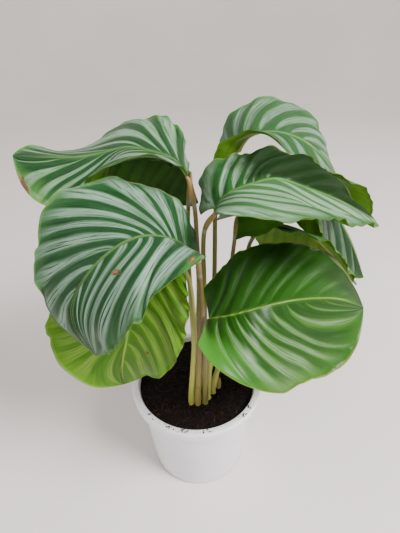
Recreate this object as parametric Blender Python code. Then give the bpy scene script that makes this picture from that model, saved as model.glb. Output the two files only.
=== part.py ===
"""Potted calathea with large round striped leaves, in metres, +Z up.

The pot stands on z = 0 with its axis on Z. The plant grows from one crown in the
soil, a little in front of the pot's middle (front is -Y). Each leaf is one thin
blade on its own stalk. Sizes below are in millimetres and degrees and are turned
into metres when a mesh is made.
"""

import bpy
import numpy as np

for obj in list(bpy.data.objects):
    bpy.data.objects.remove(obj, do_unlink=True)

MM = 0.001
GAP = 0.35  # clear space between pieces that touch in the real plant

# ---- pot -------------------------------------------------------------------
RIM_RADIUS = 65.0  # a 5 inch (130 mm) nursery pot
POT_HEIGHT = 111.0
BASE_RADIUS = 49.4
FLOOR_THICK = 2.0
SKIRT_DEPTH = 10.7  # the turned-down lip
LIP_WIDTH = 7.0
HOLE_RADIUS = 4.0
HOLE_CIRCLE = 31.0
HOLES = 5
POT_SIDES = 56
# ---- soil and crown ----------------------------------------------------------
SOIL_LEVEL = 105.0
CROWN_X, CROWN_Y = 4.0, -20.0
CROWN_RADIUS = 16.0
CROWN_TOP, CROWN_BOTTOM = 103.6, 78.0
# ---- leaves ------------------------------------------------------------------
BLADE_THICK = 0.7
KEEL = 1.5  # extra depth of the midrib under the blade
ROWS, COLUMNS = 20, 4  # side veins along the blade, steps from midrib to margin
FIRST_VEIN = 0.13
FINE_ROWS, SMOOTH_PASSES = 80, 20
RIPPLES = 5.0
# ---- stalks ------------------------------------------------------------------
STALK_FOOT_RADIUS = 2.9
STALK_TOP_RADIUS = 1.75
STALK_SIDES = 10
STALK_RINGS = 15

# One entry per leaf. midrib: points from the blade's base to its tip. heading: the
# way the blade points in plan at even steps along it, from +X towards +Y. width:
# half width left and right of the midrib. back: how far the base lobes reach behind
# the stalk, as a share of the length. sweep: how closely the side veins follow a
# bend of the midrib. left and right: at even steps along the
# midrib, the angle of the half blade above level where it leaves the midrib, the
# further turn out to the margin, and the turn of the margin itself. stalk: points
# from just above the crown to the blade.
LEAVES = {
    "front_left": dict(
        midrib=[(3, -36.5, 280), (-8.5, -39.5, 293.5), (-24, -45.5, 303), (-39.5, -56.5, 307), (-56, -65, 299.5),
                (-69.5, -70.5, 286.5), (-78, -77.5, 272.5), (-79.5, -79.5, 258.5), (-76.5, -78, 244.5), (-68, -79, 230)],
        heading=[173, 192, 222, 224], width=(52.5, 51), back=(-0.03, 0.03),
        left=([45, -8, -24, -23], [0, -9, -9, -8], [0, 0, 0, 0]),
        right=([4, 10, 8, -9], [9, -2, 0, -10], [0, 0, 0, 0]),
        sweep=0.32, ripple=1.6, tip=100, color=(0.20, 0.36, 0.20),
        stalk=[(0.5, -28), (3, -29, 161), (5, -30, 199), (6, -31, 226), (5, -32, 252), (4, -33.5, 266), (3.2, -36, 276.5)]),
    "back_left": dict(
        midrib=[(-2, 19.5, 317.5), (-12, 20, 330), (-26.5, 23, 335), (-48.5, 28, 338), (-68, 26, 333.5),
                (-87.5, 20, 333), (-107, 15.5, 336), (-126, 12, 338.5)],
        heading=[188, 171, 190, 172], width=(49, 50.5), back=(-0.06, 0.04),
        left=([8, 2, -49, -63], [0, 1, -6, -1], [0, 0, 0, 0]),
        right=([9, 18, 0, 4], [6, -1, -14, -13], [0, 0, 0, 0]),
        sweep=0.43, ripple=1.2, color=(0.20, 0.38, 0.20),
        stalk=[(-3, -20.5), (1, -13, 167), (4, -4, 216), (4, 3, 249), (3.5, 8, 267), (2.5, 13, 292), (-1.3, 18, 313)]),
    "low_left": dict(
        midrib=[(-15, -15, 269), (-27, -25, 268.5), (-40, -38, 254.5), (-48, -49, 233), (-54.5, -54, 207),
                (-60.5, -53.5, 186), (-60, -51, 166)],
        heading=[206, 242, 257, 277], width=(43.5, 87), back=(0.02, 0.09),
        left=([-9, -10, -7, -4], [-10, -10, -10, -8], [0, 0, 0, 0]),
        right=([5, 1, -6, 5], [0, 0, -10, -10], [0, 0, 0, 0]),
        sweep=0.44, ripple=2.0, color=(0.25, 0.42, 0.06),
        stalk=[(-5.5, -26.5), (-1.5, -26, 177), (-1, -23, 214), (-3, -20, 243), (-7, -17.5, 255), (-13, -15.5, 265)]),
    "front_right": dict(
        midrib=[(10.5, -37.5, 223), (24, -40.5, 227.5), (37.5, -40, 231), (51.5, -37.5, 233), (74, -31.5, 233.5),
                (100.5, -21, 227), (128.5, -8, 214), (152.5, 2, 194.5)],
        heading=[-10, 4, 7, 22], width=(62.5, 75.5), back=(0.10, 0.04),
        left=([15, 17, 18, 31], [11, -1, -1, 4], [0, 0, 0, 0]),
        right=([13, -58, -56, -42], [-11, -19, -18, -16], [0, 0, 0, 0]),
        sweep=0.50, ripple=1.2, color=(0.10, 0.26, 0.06),
        stalk=[(7.2, -27.5), (8, -31, 149), (8, -33, 184), (7.5, -35, 207), (9.5, -37.3, 219.5)]),
    "mid_right": dict(
        midrib=[(17.5, -20, 307), (19, -21, 314), (27, -22.5, 322), (41, -21, 326.5), (59, -16, 328),
                (82, -11.5, 317.5), (110, -5.5, 304.5), (138.5, -4.5, 288)],
        heading=[7, 13, 6, -15], width=(47, 48.5), back=(0.18, -0.04),
        left=([14, 2, 20, -5], [4, -1, 1, 1], [0, 0, 0, 0]),
        right=([21, -16, 1, 5], [-4, -1, -2, -3], [0, 0, 0, 0]),
        sweep=0.53, ripple=1.5, color=(0.20, 0.36, 0.22),
        stalk=[(3.9, -20.5), (8, -11, 181), (8.5, -3, 232), (8, -6, 268), (9.5, -14, 290), (16, -19.3, 303.5)]),
    "top_right": dict(
        midrib=[(41, 60.5, 322.5), (49.5, 62, 333), (65.5, 63.5, 336.5), (84.5, 63, 333.5), (102, 60.5, 325),
                (120.5, 59, 307.5), (140.5, 57, 281.5), (158, 54, 251.5)],
        heading=[-5, -1, 4, 0], width=(58.5, 30), back=(0.16, 0.28),
        left=([17, 16, 6, -9], [6, 0, 2, -2], [0, 0, 0, 0]),
        right=([42, -30, 5, 60], [0, 0, 0, 0], [115, 10, 50, 0]),
        sweep=0.57, ripple=1.2, color=(0.18, 0.36, 0.18),
        stalk=[(10.5, -20.5), (14, -4, 167), (18, 16, 217), (19, 25, 246), (20, 36, 277), (24, 46, 296), (38, 60.6, 318.9)]),
    "rear_low": dict(
        midrib=[(64, 45, 261), (86, 54, 254), (115, 62, 237), (144, 66, 209), (168, 64, 177)],
        heading=[20, 18, 10, 5], width=(46, 40), back=(0.03, 0.03),
        left=([-72, -72, -66, -60], [0, 0, 0, 0], [0, 0, 0, 0]),
        right=([10, 10, 0, 0], [0, 0, 0, 0], [0, 0, 0, 0]),
        sweep=0.8, ripple=1.5, color=(0.16, 0.34, 0.10),
        stalk=[(16.0, -14.0), (28, 2, 153), (42, 20, 205), (49, 33, 238), (53, 38, 248), (62, 44, 258.5)]),
    "rear_right": dict(
        midrib=[(38, 32, 276), (64, 52, 284), (95, 70, 283), (132, 84, 261), (165, 88, 218), (190, 86, 166)],
        heading=[30, 25, 10, 5], width=(45, 36), back=(0.09, 0.12),
        left=([-20, -20, -60, -60], [0, 0, 0, 0], [0, 0, 0, 0]),
        right=([-40, -30, -72, -75], [0, 0, 0, 0], [0, 0, 0, 0]),
        sweep=0.8, ripple=1.5, color=(0.16, 0.34, 0.16),
        stalk=[(9.0, -13.0), (19, 2, 151), (29, 14, 199), (35, 26, 241), (37, 29.5, 260), (37.6, 31.5, 271)]),
    "rear_left": dict(
        midrib=[(1, 45, 310), (-15, 54, 317), (-38, 60, 321), (-62, 64, 317), (-84, 64, 308)],
        heading=[165, 162, 165, 175], width=(22, 54), back=(0.05, 0.20),
        left=([14, 14, 10, 0], [0, 0, 0, 0], [0, 0, 0, 0]),
        right=([-75, -75, -65, -60], [0, 0, 0, 0], [0, 0, 0, 0]),
        sweep=0.8, ripple=1.5, color=(0.14, 0.30, 0.08),
        stalk=[(0.3, -13.5), (-2, 4, 176), (-4, 20, 240), (-3, 34, 280), (0, 43.5, 306)]),
}


def smooth_table(values, x):
    """Smooth value of an evenly spaced table at x in 0..1."""
    v = np.asarray(values, float)
    last = len(v) - 1
    x = np.clip(x, 0, 1) * last
    i = np.minimum(x.astype(int), last - 1)
    f = x - i
    before, a, b, after = v[np.maximum(i - 1, 0)], v[i], v[i + 1], v[np.minimum(i + 2, last)]
    if v.ndim > 1:
        f = f[:, None]
    return 0.5 * (2 * a + (b - before) * f + (2 * before - 5 * a + 4 * b - after) * f**2
                  + (3 * a - before - 3 * b + after) * f**3)


def smooth_path(points):
    """A smooth line through the points, as many short steps with the share of the length at each."""
    line = smooth_table(points, np.linspace(0, 1, 401))
    for _ in range(30):
        line[1:-1] = 0.25 * line[:-2] + 0.5 * line[1:-1] + 0.25 * line[2:]
    share = np.concatenate([[0], np.cumsum(np.linalg.norm(np.diff(line, axis=0), axis=1))])
    ways = np.gradient(line, axis=0)
    ways /= np.linalg.norm(ways, axis=1)[:, None]
    return line, ways, share / share[-1], share[-1]


def along(path, x):
    """Points and directions at shares x of a path, straight on past its ends."""
    line, ways, share, length = path
    inside = np.clip(x, 0, 1)
    point = np.stack([np.interp(inside, share, line[:, k]) for k in range(3)], -1)
    way = np.stack([np.interp(inside, share, ways[:, k]) for k in range(3)], -1)
    way /= np.linalg.norm(way, axis=-1)[:, None]
    return point + way * ((x - inside) * length)[:, None], way


def half_blade(leaf, side, rows, columns):
    """Points of one half: a row per side vein from the base to the tip, a column per step from the midrib out."""
    path = smooth_path(leaf["midrib"])
    k = 0 if side > 0 else 1
    u = (np.linspace(0, 1, FINE_ROWS + 1)[:, None] * np.ones((1, columns + 1))).ravel()
    t = (np.linspace(0, 1, columns + 1)[None] * np.ones((FINE_ROWS + 1, 1))).ravel()
    q = FIRST_VEIN + (1 - FIRST_VEIN) * u
    margin = -leaf["back"][k] + (1 + leaf["back"][k]) * (1 - np.cos(np.pi * q)) / 2
    reach = np.sin(np.pi * np.minimum(q, 1 - 1e-9)) ** 0.86 * (1 - 0.25 * np.clip((margin - 0.8) / 0.2, 0, 1) ** 2)
    start = 0.30 * u + 0.70 * u**4
    x = start + (margin - start) * (0.35 * t + 0.65 * t**1.7)
    out = leaf["width"][k] * reach * t**0.92
    foot = start + (x - start) * (leaf["sweep"] + (1 - leaf["sweep"]) * u**3)
    point, way = along(path, foot)
    heading = np.radians(smooth_table(leaf["heading"], foot))
    bend = np.radians(smooth_table(leaf["heading"], foot + 0.02) - smooth_table(leaf["heading"], foot - 0.02)) / 0.04
    across = np.stack([-np.sin(heading), np.cos(heading), 0 * heading], -1) * side
    across -= (across * way).sum(-1)[:, None] * way
    across /= np.linalg.norm(across, axis=1)[:, None]
    above = np.cross(way, across) * side
    angle, turn, curl = (np.radians(smooth_table(v, x)) for v in leaf["left" if side > 0 else "right"])
    flat, lift = np.zeros_like(out), np.zeros_like(out)
    steps = 12
    for j in range(steps):
        r = (j + 0.5) / steps * out / leaf["width"][k]
        edge = np.clip((r / np.maximum(reach, 1e-3) - 0.55) / 0.45, 0, 1)
        a = angle + turn * r + curl * edge**2
        flat += np.cos(a) * out / steps
        lift += np.sin(a) * out / steps
    # the blade is shorter on the inner side of a bend and longer on the outer side
    on = (x - foot) * path[3] * np.clip(1 - side * bend * flat / path[3], 0.3, 1.1)
    skin = point + way * on[:, None] + across * flat[:, None] + above * lift[:, None]
    skin = skin.reshape(FINE_ROWS + 1, columns + 1, 3)
    for _ in range(SMOOTH_PASSES):
        skin[1:-1, 1:] = 0.25 * skin[:-2, 1:] + 0.5 * skin[1:-1, 1:] + 0.25 * skin[2:, 1:]
    # where the tip hooks sharply under, the last side veins run even ("tip": smoothing passes)
    last = np.clip((np.linspace(0, 1, FINE_ROWS + 1)[1:-1, None, None] - 0.55) / 0.15, 0, 1)
    last = last * t.reshape(FINE_ROWS + 1, columns + 1, 1)[1:-1, 1:] ** 2
    for _ in range(leaf.get("tip", 0)):
        skin[1:-1, 1:] += last * 0.25 * (skin[:-2, 1:] - 2 * skin[1:-1, 1:] + skin[2:, 1:])
    wave = leaf["ripple"] * t**2.2 * np.clip(reach * 1.6, 0, 1) * np.sin(2 * np.pi * (RIPPLES * margin + 0.5 * k))
    skin += (above * wave[:, None]).reshape(skin.shape)
    return skin[:: FINE_ROWS // rows]


def material(name, color, rough, coat=0.0):
    mat = bpy.data.materials.new(name)
    mat.use_nodes = True
    shader = mat.node_tree.nodes["Principled BSDF"]
    shader.inputs["Base Color"].default_value = (*color, 1)
    shader.inputs["Roughness"].default_value = rough
    shader.inputs["Coat Weight"].default_value = coat
    return mat


def add_object(name, points, faces, mat):
    mesh = bpy.data.meshes.new(name)
    mesh.from_pydata([tuple(p) for p in np.asarray(points) * MM], [], faces)
    mesh.materials.append(mat)
    mesh.validate()
    obj = bpy.data.objects.new(name, mesh)
    bpy.context.scene.collection.objects.link(obj)
    return obj


def leaf_blade(name, leaf):
    """A thin closed blade: an upper and a lower skin joined along the margin, deeper along the midrib."""
    left = half_blade(leaf, 1, ROWS, COLUMNS)
    right = half_blade(leaf, -1, ROWS, COLUMNS)
    grid = np.concatenate([left[:, :0:-1], right], axis=1)  # left margin ... midrib ... right margin
    tip = grid[-1, COLUMNS]
    full = grid[:-1]
    nr, nc = full.shape[:2]
    number = np.arange(nr * nc).reshape(nr, nc)
    tip_number = nr * nc
    points = np.concatenate([full.reshape(-1, 3), tip[None]])
    skin = []
    for i in range(nr - 1):
        for j in range(nc - 1):
            a, b, c, d = number[i, j], number[i, j + 1], number[i + 1, j + 1], number[i + 1, j]
            # the shorter way across keeps the skin smooth on both halves
            skin += [(a, b, d), (b, c, d)] if j >= COLUMNS else [(a, b, c), (a, c, d)]
    skin += [(number[-1, j], number[-1, j + 1], tip_number) for j in range(nc - 1)]
    skin = np.array(skin)
    corner = points[skin]
    face_normal = np.cross(corner[:, 1] - corner[:, 0], corner[:, 2] - corner[:, 0])
    normal = np.zeros_like(points)
    for k in range(3):
        np.add.at(normal, skin[:, k], face_normal)
    normal /= np.linalg.norm(normal, axis=1)[:, None]
    deep = np.full(len(points), BLADE_THICK / 2)
    deep[number[:, COLUMNS]] += KEEL * np.linspace(1, 0.1, nr)
    top = points + normal * BLADE_THICK / 2
    under = points - normal * deep[:, None]
    count = len(points)
    faces = [tuple(int(v) for v in f) for f in skin]
    faces += [tuple(int(v) + count for v in f[::-1]) for f in skin]
    border = list(number[0, ::-1]) + list(number[1:, 0]) + [tip_number] + list(number[:0:-1, -1])
    for a, b in zip(border, border[1:] + border[:1]):
        a, b = int(a), int(b)
        faces += [(a, b, b + count), (a, b + count, a + count)]
    return add_object("leaf_" + name, np.concatenate([top, under]), faces,
                      material("leaf_" + name, leaf["color"], 0.35, 0.15))


def stalk(name, leaf):
    """A round stalk, thicker at its foot, with the short swollen joint under the blade."""
    foot_x, foot_y = leaf["stalk"][0]
    route = [(foot_x, foot_y, CROWN_TOP + GAP), (foot_x, foot_y, CROWN_TOP + 14)] + leaf["stalk"][1:]
    path = smooth_path(route)
    s = np.linspace(0, 1, STALK_RINGS)
    centre, way = along(path, s)
    swell = np.exp(-(((s - 0.95) / 0.05) ** 2))
    radius = STALK_TOP_RADIUS + (STALK_FOOT_RADIUS - STALK_TOP_RADIUS) * (1 - s) ** 1.3 + 0.35 * swell
    side = np.cross(way, (0.0, 1.0, 0.0))
    side /= np.linalg.norm(side, axis=1)[:, None]
    other = np.cross(way, side)
    turn = np.linspace(0, 2 * np.pi, STALK_SIDES, endpoint=False)
    ring = (centre[:, None] + radius[:, None, None] * (np.cos(turn)[None, :, None] * side[:, None]
                                                         + np.sin(turn)[None, :, None] * other[:, None]))
    ring[0, :, 2] = CROWN_TOP + GAP
    faces = []
    for i in range(STALK_RINGS - 1):
        for j in range(STALK_SIDES):
            a, b = i * STALK_SIDES + j, i * STALK_SIDES + (j + 1) % STALK_SIDES
            faces.append((a, b, b + STALK_SIDES, a + STALK_SIDES))
    faces.append(tuple(range(STALK_SIDES))[::-1])
    faces.append(tuple((STALK_RINGS - 1) * STALK_SIDES + j for j in range(STALK_SIDES)))
    return add_object("stalk_" + name, ring.reshape(-1, 3), faces, material("stalk_" + name, (0.32, 0.30, 0.09), 0.5))


def turned(name, profile, sides, mat, wobble=None):
    """A solid of revolution about Z from (radius, height) points that run up the outside and down the inside."""
    turn = np.linspace(0, 2 * np.pi, sides, endpoint=False)
    points, rings = [], []
    for n, (r, z) in enumerate(profile):
        if r == 0:
            rings.append([len(points)])
            points.append((0, 0, z))
            continue
        rings.append(list(range(len(points), len(points) + sides)))
        rr = r * np.ones(sides) if wobble is None else wobble(n, r, turn)
        points += [(rr[i] * np.cos(a), rr[i] * np.sin(a), z) for i, a in enumerate(turn)]
    faces = []
    for low, high in zip(rings, rings[1:]):
        for i in range(sides):
            j = (i + 1) % sides
            if len(low) == 1:
                faces.append((low[0], high[j], high[i]))
            elif len(high) == 1:
                faces.append((low[i], low[j], high[0]))
            else:
                faces.append((low[i], low[j], high[j], high[i]))
    return add_object(name, points, faces, mat)


def inner_radius(z):
    """Radius of the pot's inner wall at a height."""
    return np.interp(z, [FLOOR_THICK, 100.0, POT_HEIGHT - 1.5], [48.0, 56.4, RIM_RADIUS - LIP_WIDTH + 0.2])


def pot():
    body_top = POT_HEIGHT - SKIRT_DEPTH
    profile = [
        (0, 0), (BASE_RADIUS - 1.5, 0), (BASE_RADIUS, 1.2), (52.4, 36.0), (57.6, body_top + 3.2), (60.4, body_top + 7.8),
        (62.0, body_top + 7.4), (62.4, body_top), (63.9, body_top), (RIM_RADIUS, POT_HEIGHT - 1.6),
        (RIM_RADIUS - 0.9, POT_HEIGHT - 0.3), (RIM_RADIUS - 2.6, POT_HEIGHT), (RIM_RADIUS - LIP_WIDTH + 1.6, POT_HEIGHT),
        (RIM_RADIUS - LIP_WIDTH + 0.5, POT_HEIGHT - 0.5), (inner_radius(POT_HEIGHT - 1.5), POT_HEIGHT - 1.5),
        (inner_radius(100.0), 100.0), (inner_radius(FLOOR_THICK), FLOOR_THICK), (0, FLOOR_THICK),
    ]
    body = turned("pot", profile, POT_SIDES, material("pot", (0.78, 0.76, 0.78), 0.35, 0.2))
    for i in range(HOLES):
        a = 2 * np.pi * (i + 0.5) / HOLES
        bpy.ops.mesh.primitive_cylinder_add(
            vertices=14, radius=HOLE_RADIUS * MM, depth=4 * FLOOR_THICK * MM,
            location=(HOLE_CIRCLE * np.cos(a) * MM, HOLE_CIRCLE * np.sin(a) * MM, FLOOR_THICK / 2 * MM))
        drill = bpy.context.active_object
        drill.name = f"drill_{i}"
        drill.hide_render = True
        drill.display_type = "WIRE"
        cut = body.modifiers.new(f"hole_{i}", "BOOLEAN")
        cut.operation, cut.solver, cut.object = "DIFFERENCE", "EXACT", drill
    return body


def soil():
    """The root ball: it fills the pot up to just under the rim, with a pocket that the crown sits in."""
    rim_z = SOIL_LEVEL - 1.0
    mat = material("soil", (0.02, 0.012, 0.01), 0.95)
    sides, rings = 48, 6
    turn = np.linspace(0, 2 * np.pi, sides, endpoint=False)
    pocket = CROWN_RADIUS + GAP
    points, levels = [], []

    def ring(fn):
        levels.append(list(range(len(points), len(points) + sides)))
        points.extend(fn(a) for a in turn)

    def outer(z, inset):
        return lambda a: ((inner_radius(z) - inset) * np.cos(a), (inner_radius(z) - inset) * np.sin(a), z)

    ring(outer(FLOOR_THICK + GAP, GAP + 3.0))
    ring(outer(FLOOR_THICK + GAP + 3.0, GAP))
    ring(outer(rim_z - 4.0, GAP))
    ring(outer(rim_z, GAP))
    # the surface, from the pot wall in to the mouth of the crown's pocket
    for k in range(1, rings + 1):
        f = k / rings

        def surface(a, f=f):
            far = inner_radius(rim_z) - GAP
            x0, y0 = far * np.cos(a), far * np.sin(a)
            x1, y1 = CROWN_X + pocket * np.cos(a), CROWN_Y + pocket * np.sin(a)
            x, y = x0 + (x1 - x0) * f, y0 + (y1 - y0) * f
            bump = 0.6 * np.sin(0.21 * x + 1.3) * np.cos(0.17 * y - 0.4) + 0.4 * np.sin(0.47 * x - 0.39 * y)
            return x, y, rim_z + 1.0 * f**0.5 + bump * min(1.0, 4 * f * (1.3 - f))
        ring(surface)
    ring(lambda a: (CROWN_X + pocket * np.cos(a), CROWN_Y + pocket * np.sin(a), CROWN_BOTTOM - GAP))
    bottom, pit = len(points), len(points) + 1
    points.append((0, 0, FLOOR_THICK + GAP))
    points.append((CROWN_X, CROWN_Y, CROWN_BOTTOM - GAP))
    faces = []
    for low, high in zip(levels, levels[1:]):
        for i in range(sides):
            j = (i + 1) % sides
            faces += [(low[i], low[j], high[j]), (low[i], high[j], high[i])]
    for i in range(sides):
        j = (i + 1) % sides
        faces.append((bottom, levels[0][j], levels[0][i]))
        faces.append((levels[-1][i], levels[-1][j], pit))
    return add_object("soil", points, faces, mat)


def crown():
    """The rhizome that every stalk grows from: a knobbly lump with a flat top."""
    mat = material("crown", (0.20, 0.14, 0.06), 0.85)
    profile = [(0, CROWN_BOTTOM), (9.5, CROWN_BOTTOM), (14.0, CROWN_BOTTOM + 5), (16.0, CROWN_BOTTOM + 14),
               (15.6, CROWN_TOP - 1.2), (14.8, CROWN_TOP), (0, CROWN_TOP)]

    def wobble(n, r, turn):
        return r - (0.9 + 0.7 * np.sin(3 * turn + n) + 0.5 * np.sin(7 * turn - 2 * n)) * (0.5 if n in (5,) else 0.9)
    obj = turned("crown", profile, 28, mat, wobble)
    obj.location = (CROWN_X * MM, CROWN_Y * MM, 0)
    return obj


def young_shoot():
    """A rolled leaf just breaking through beside the stalks."""
    mat = material("young_shoot", (0.36, 0.26, 0.08), 0.6)
    foot = SOIL_LEVEL + 1.1
    profile = [(0, foot), (2.0, foot), (2.4, foot + 5.0), (1.9, foot + 11.0), (1.0, foot + 15.0), (0, foot + 17.0)]
    obj = turned("young_shoot", profile, 10, mat)
    obj.location = (21.5 * MM, -9.5 * MM, 0)
    return obj


pot()
soil()
crown()
young_shoot()
for leaf_name, leaf_spec in LEAVES.items():
    stalk(leaf_name, leaf_spec)
    leaf_blade(leaf_name, leaf_spec)
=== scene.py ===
"""Potted calathea: the visual model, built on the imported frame. Metres, +Z up, front at -Y."""

import math

import bmesh
import bpy
import numpy as np
from mathutils import Matrix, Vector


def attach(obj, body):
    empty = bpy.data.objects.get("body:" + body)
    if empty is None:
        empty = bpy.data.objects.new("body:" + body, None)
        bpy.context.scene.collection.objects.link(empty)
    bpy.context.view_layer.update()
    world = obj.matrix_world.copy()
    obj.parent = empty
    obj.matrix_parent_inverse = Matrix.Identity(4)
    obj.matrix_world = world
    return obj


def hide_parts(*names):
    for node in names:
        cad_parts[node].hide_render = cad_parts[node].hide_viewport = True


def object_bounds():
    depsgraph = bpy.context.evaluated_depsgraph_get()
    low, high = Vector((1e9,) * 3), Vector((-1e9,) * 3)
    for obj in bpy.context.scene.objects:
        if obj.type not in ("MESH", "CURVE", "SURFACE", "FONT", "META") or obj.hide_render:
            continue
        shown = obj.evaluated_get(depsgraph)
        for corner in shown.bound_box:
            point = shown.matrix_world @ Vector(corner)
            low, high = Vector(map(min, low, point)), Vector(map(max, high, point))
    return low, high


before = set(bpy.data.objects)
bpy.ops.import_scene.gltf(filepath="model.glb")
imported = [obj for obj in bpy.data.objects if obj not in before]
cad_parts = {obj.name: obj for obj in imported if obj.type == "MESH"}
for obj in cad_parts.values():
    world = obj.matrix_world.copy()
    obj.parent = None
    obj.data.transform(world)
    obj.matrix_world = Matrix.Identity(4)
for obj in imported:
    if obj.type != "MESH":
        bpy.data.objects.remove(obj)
CAD_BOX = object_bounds()
rng = np.random.default_rng(7)

# ============================================================================ leaf shapes
# The same design table and the same functions as the solid model, on a finer grid.
MM = 0.001
RIM_RADIUS = 65.0
POT_HEIGHT = 111.0
BASE_RADIUS = 49.4
FLOOR_THICK = 2.0
SKIRT_DEPTH = 10.7
LIP_WIDTH = 7.0
HOLE_RADIUS = 4.0
HOLE_CIRCLE = 31.0
HOLES = 5
SOIL_LEVEL = 105.0
CROWN_X, CROWN_Y = 4.0, -20.0
CROWN_TOP, CROWN_BOTTOM = 103.6, 78.0
FIRST_VEIN = 0.13
RIPPLES = 5.0
STALK_FOOT_RADIUS = 2.9
STALK_TOP_RADIUS = 1.75

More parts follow.
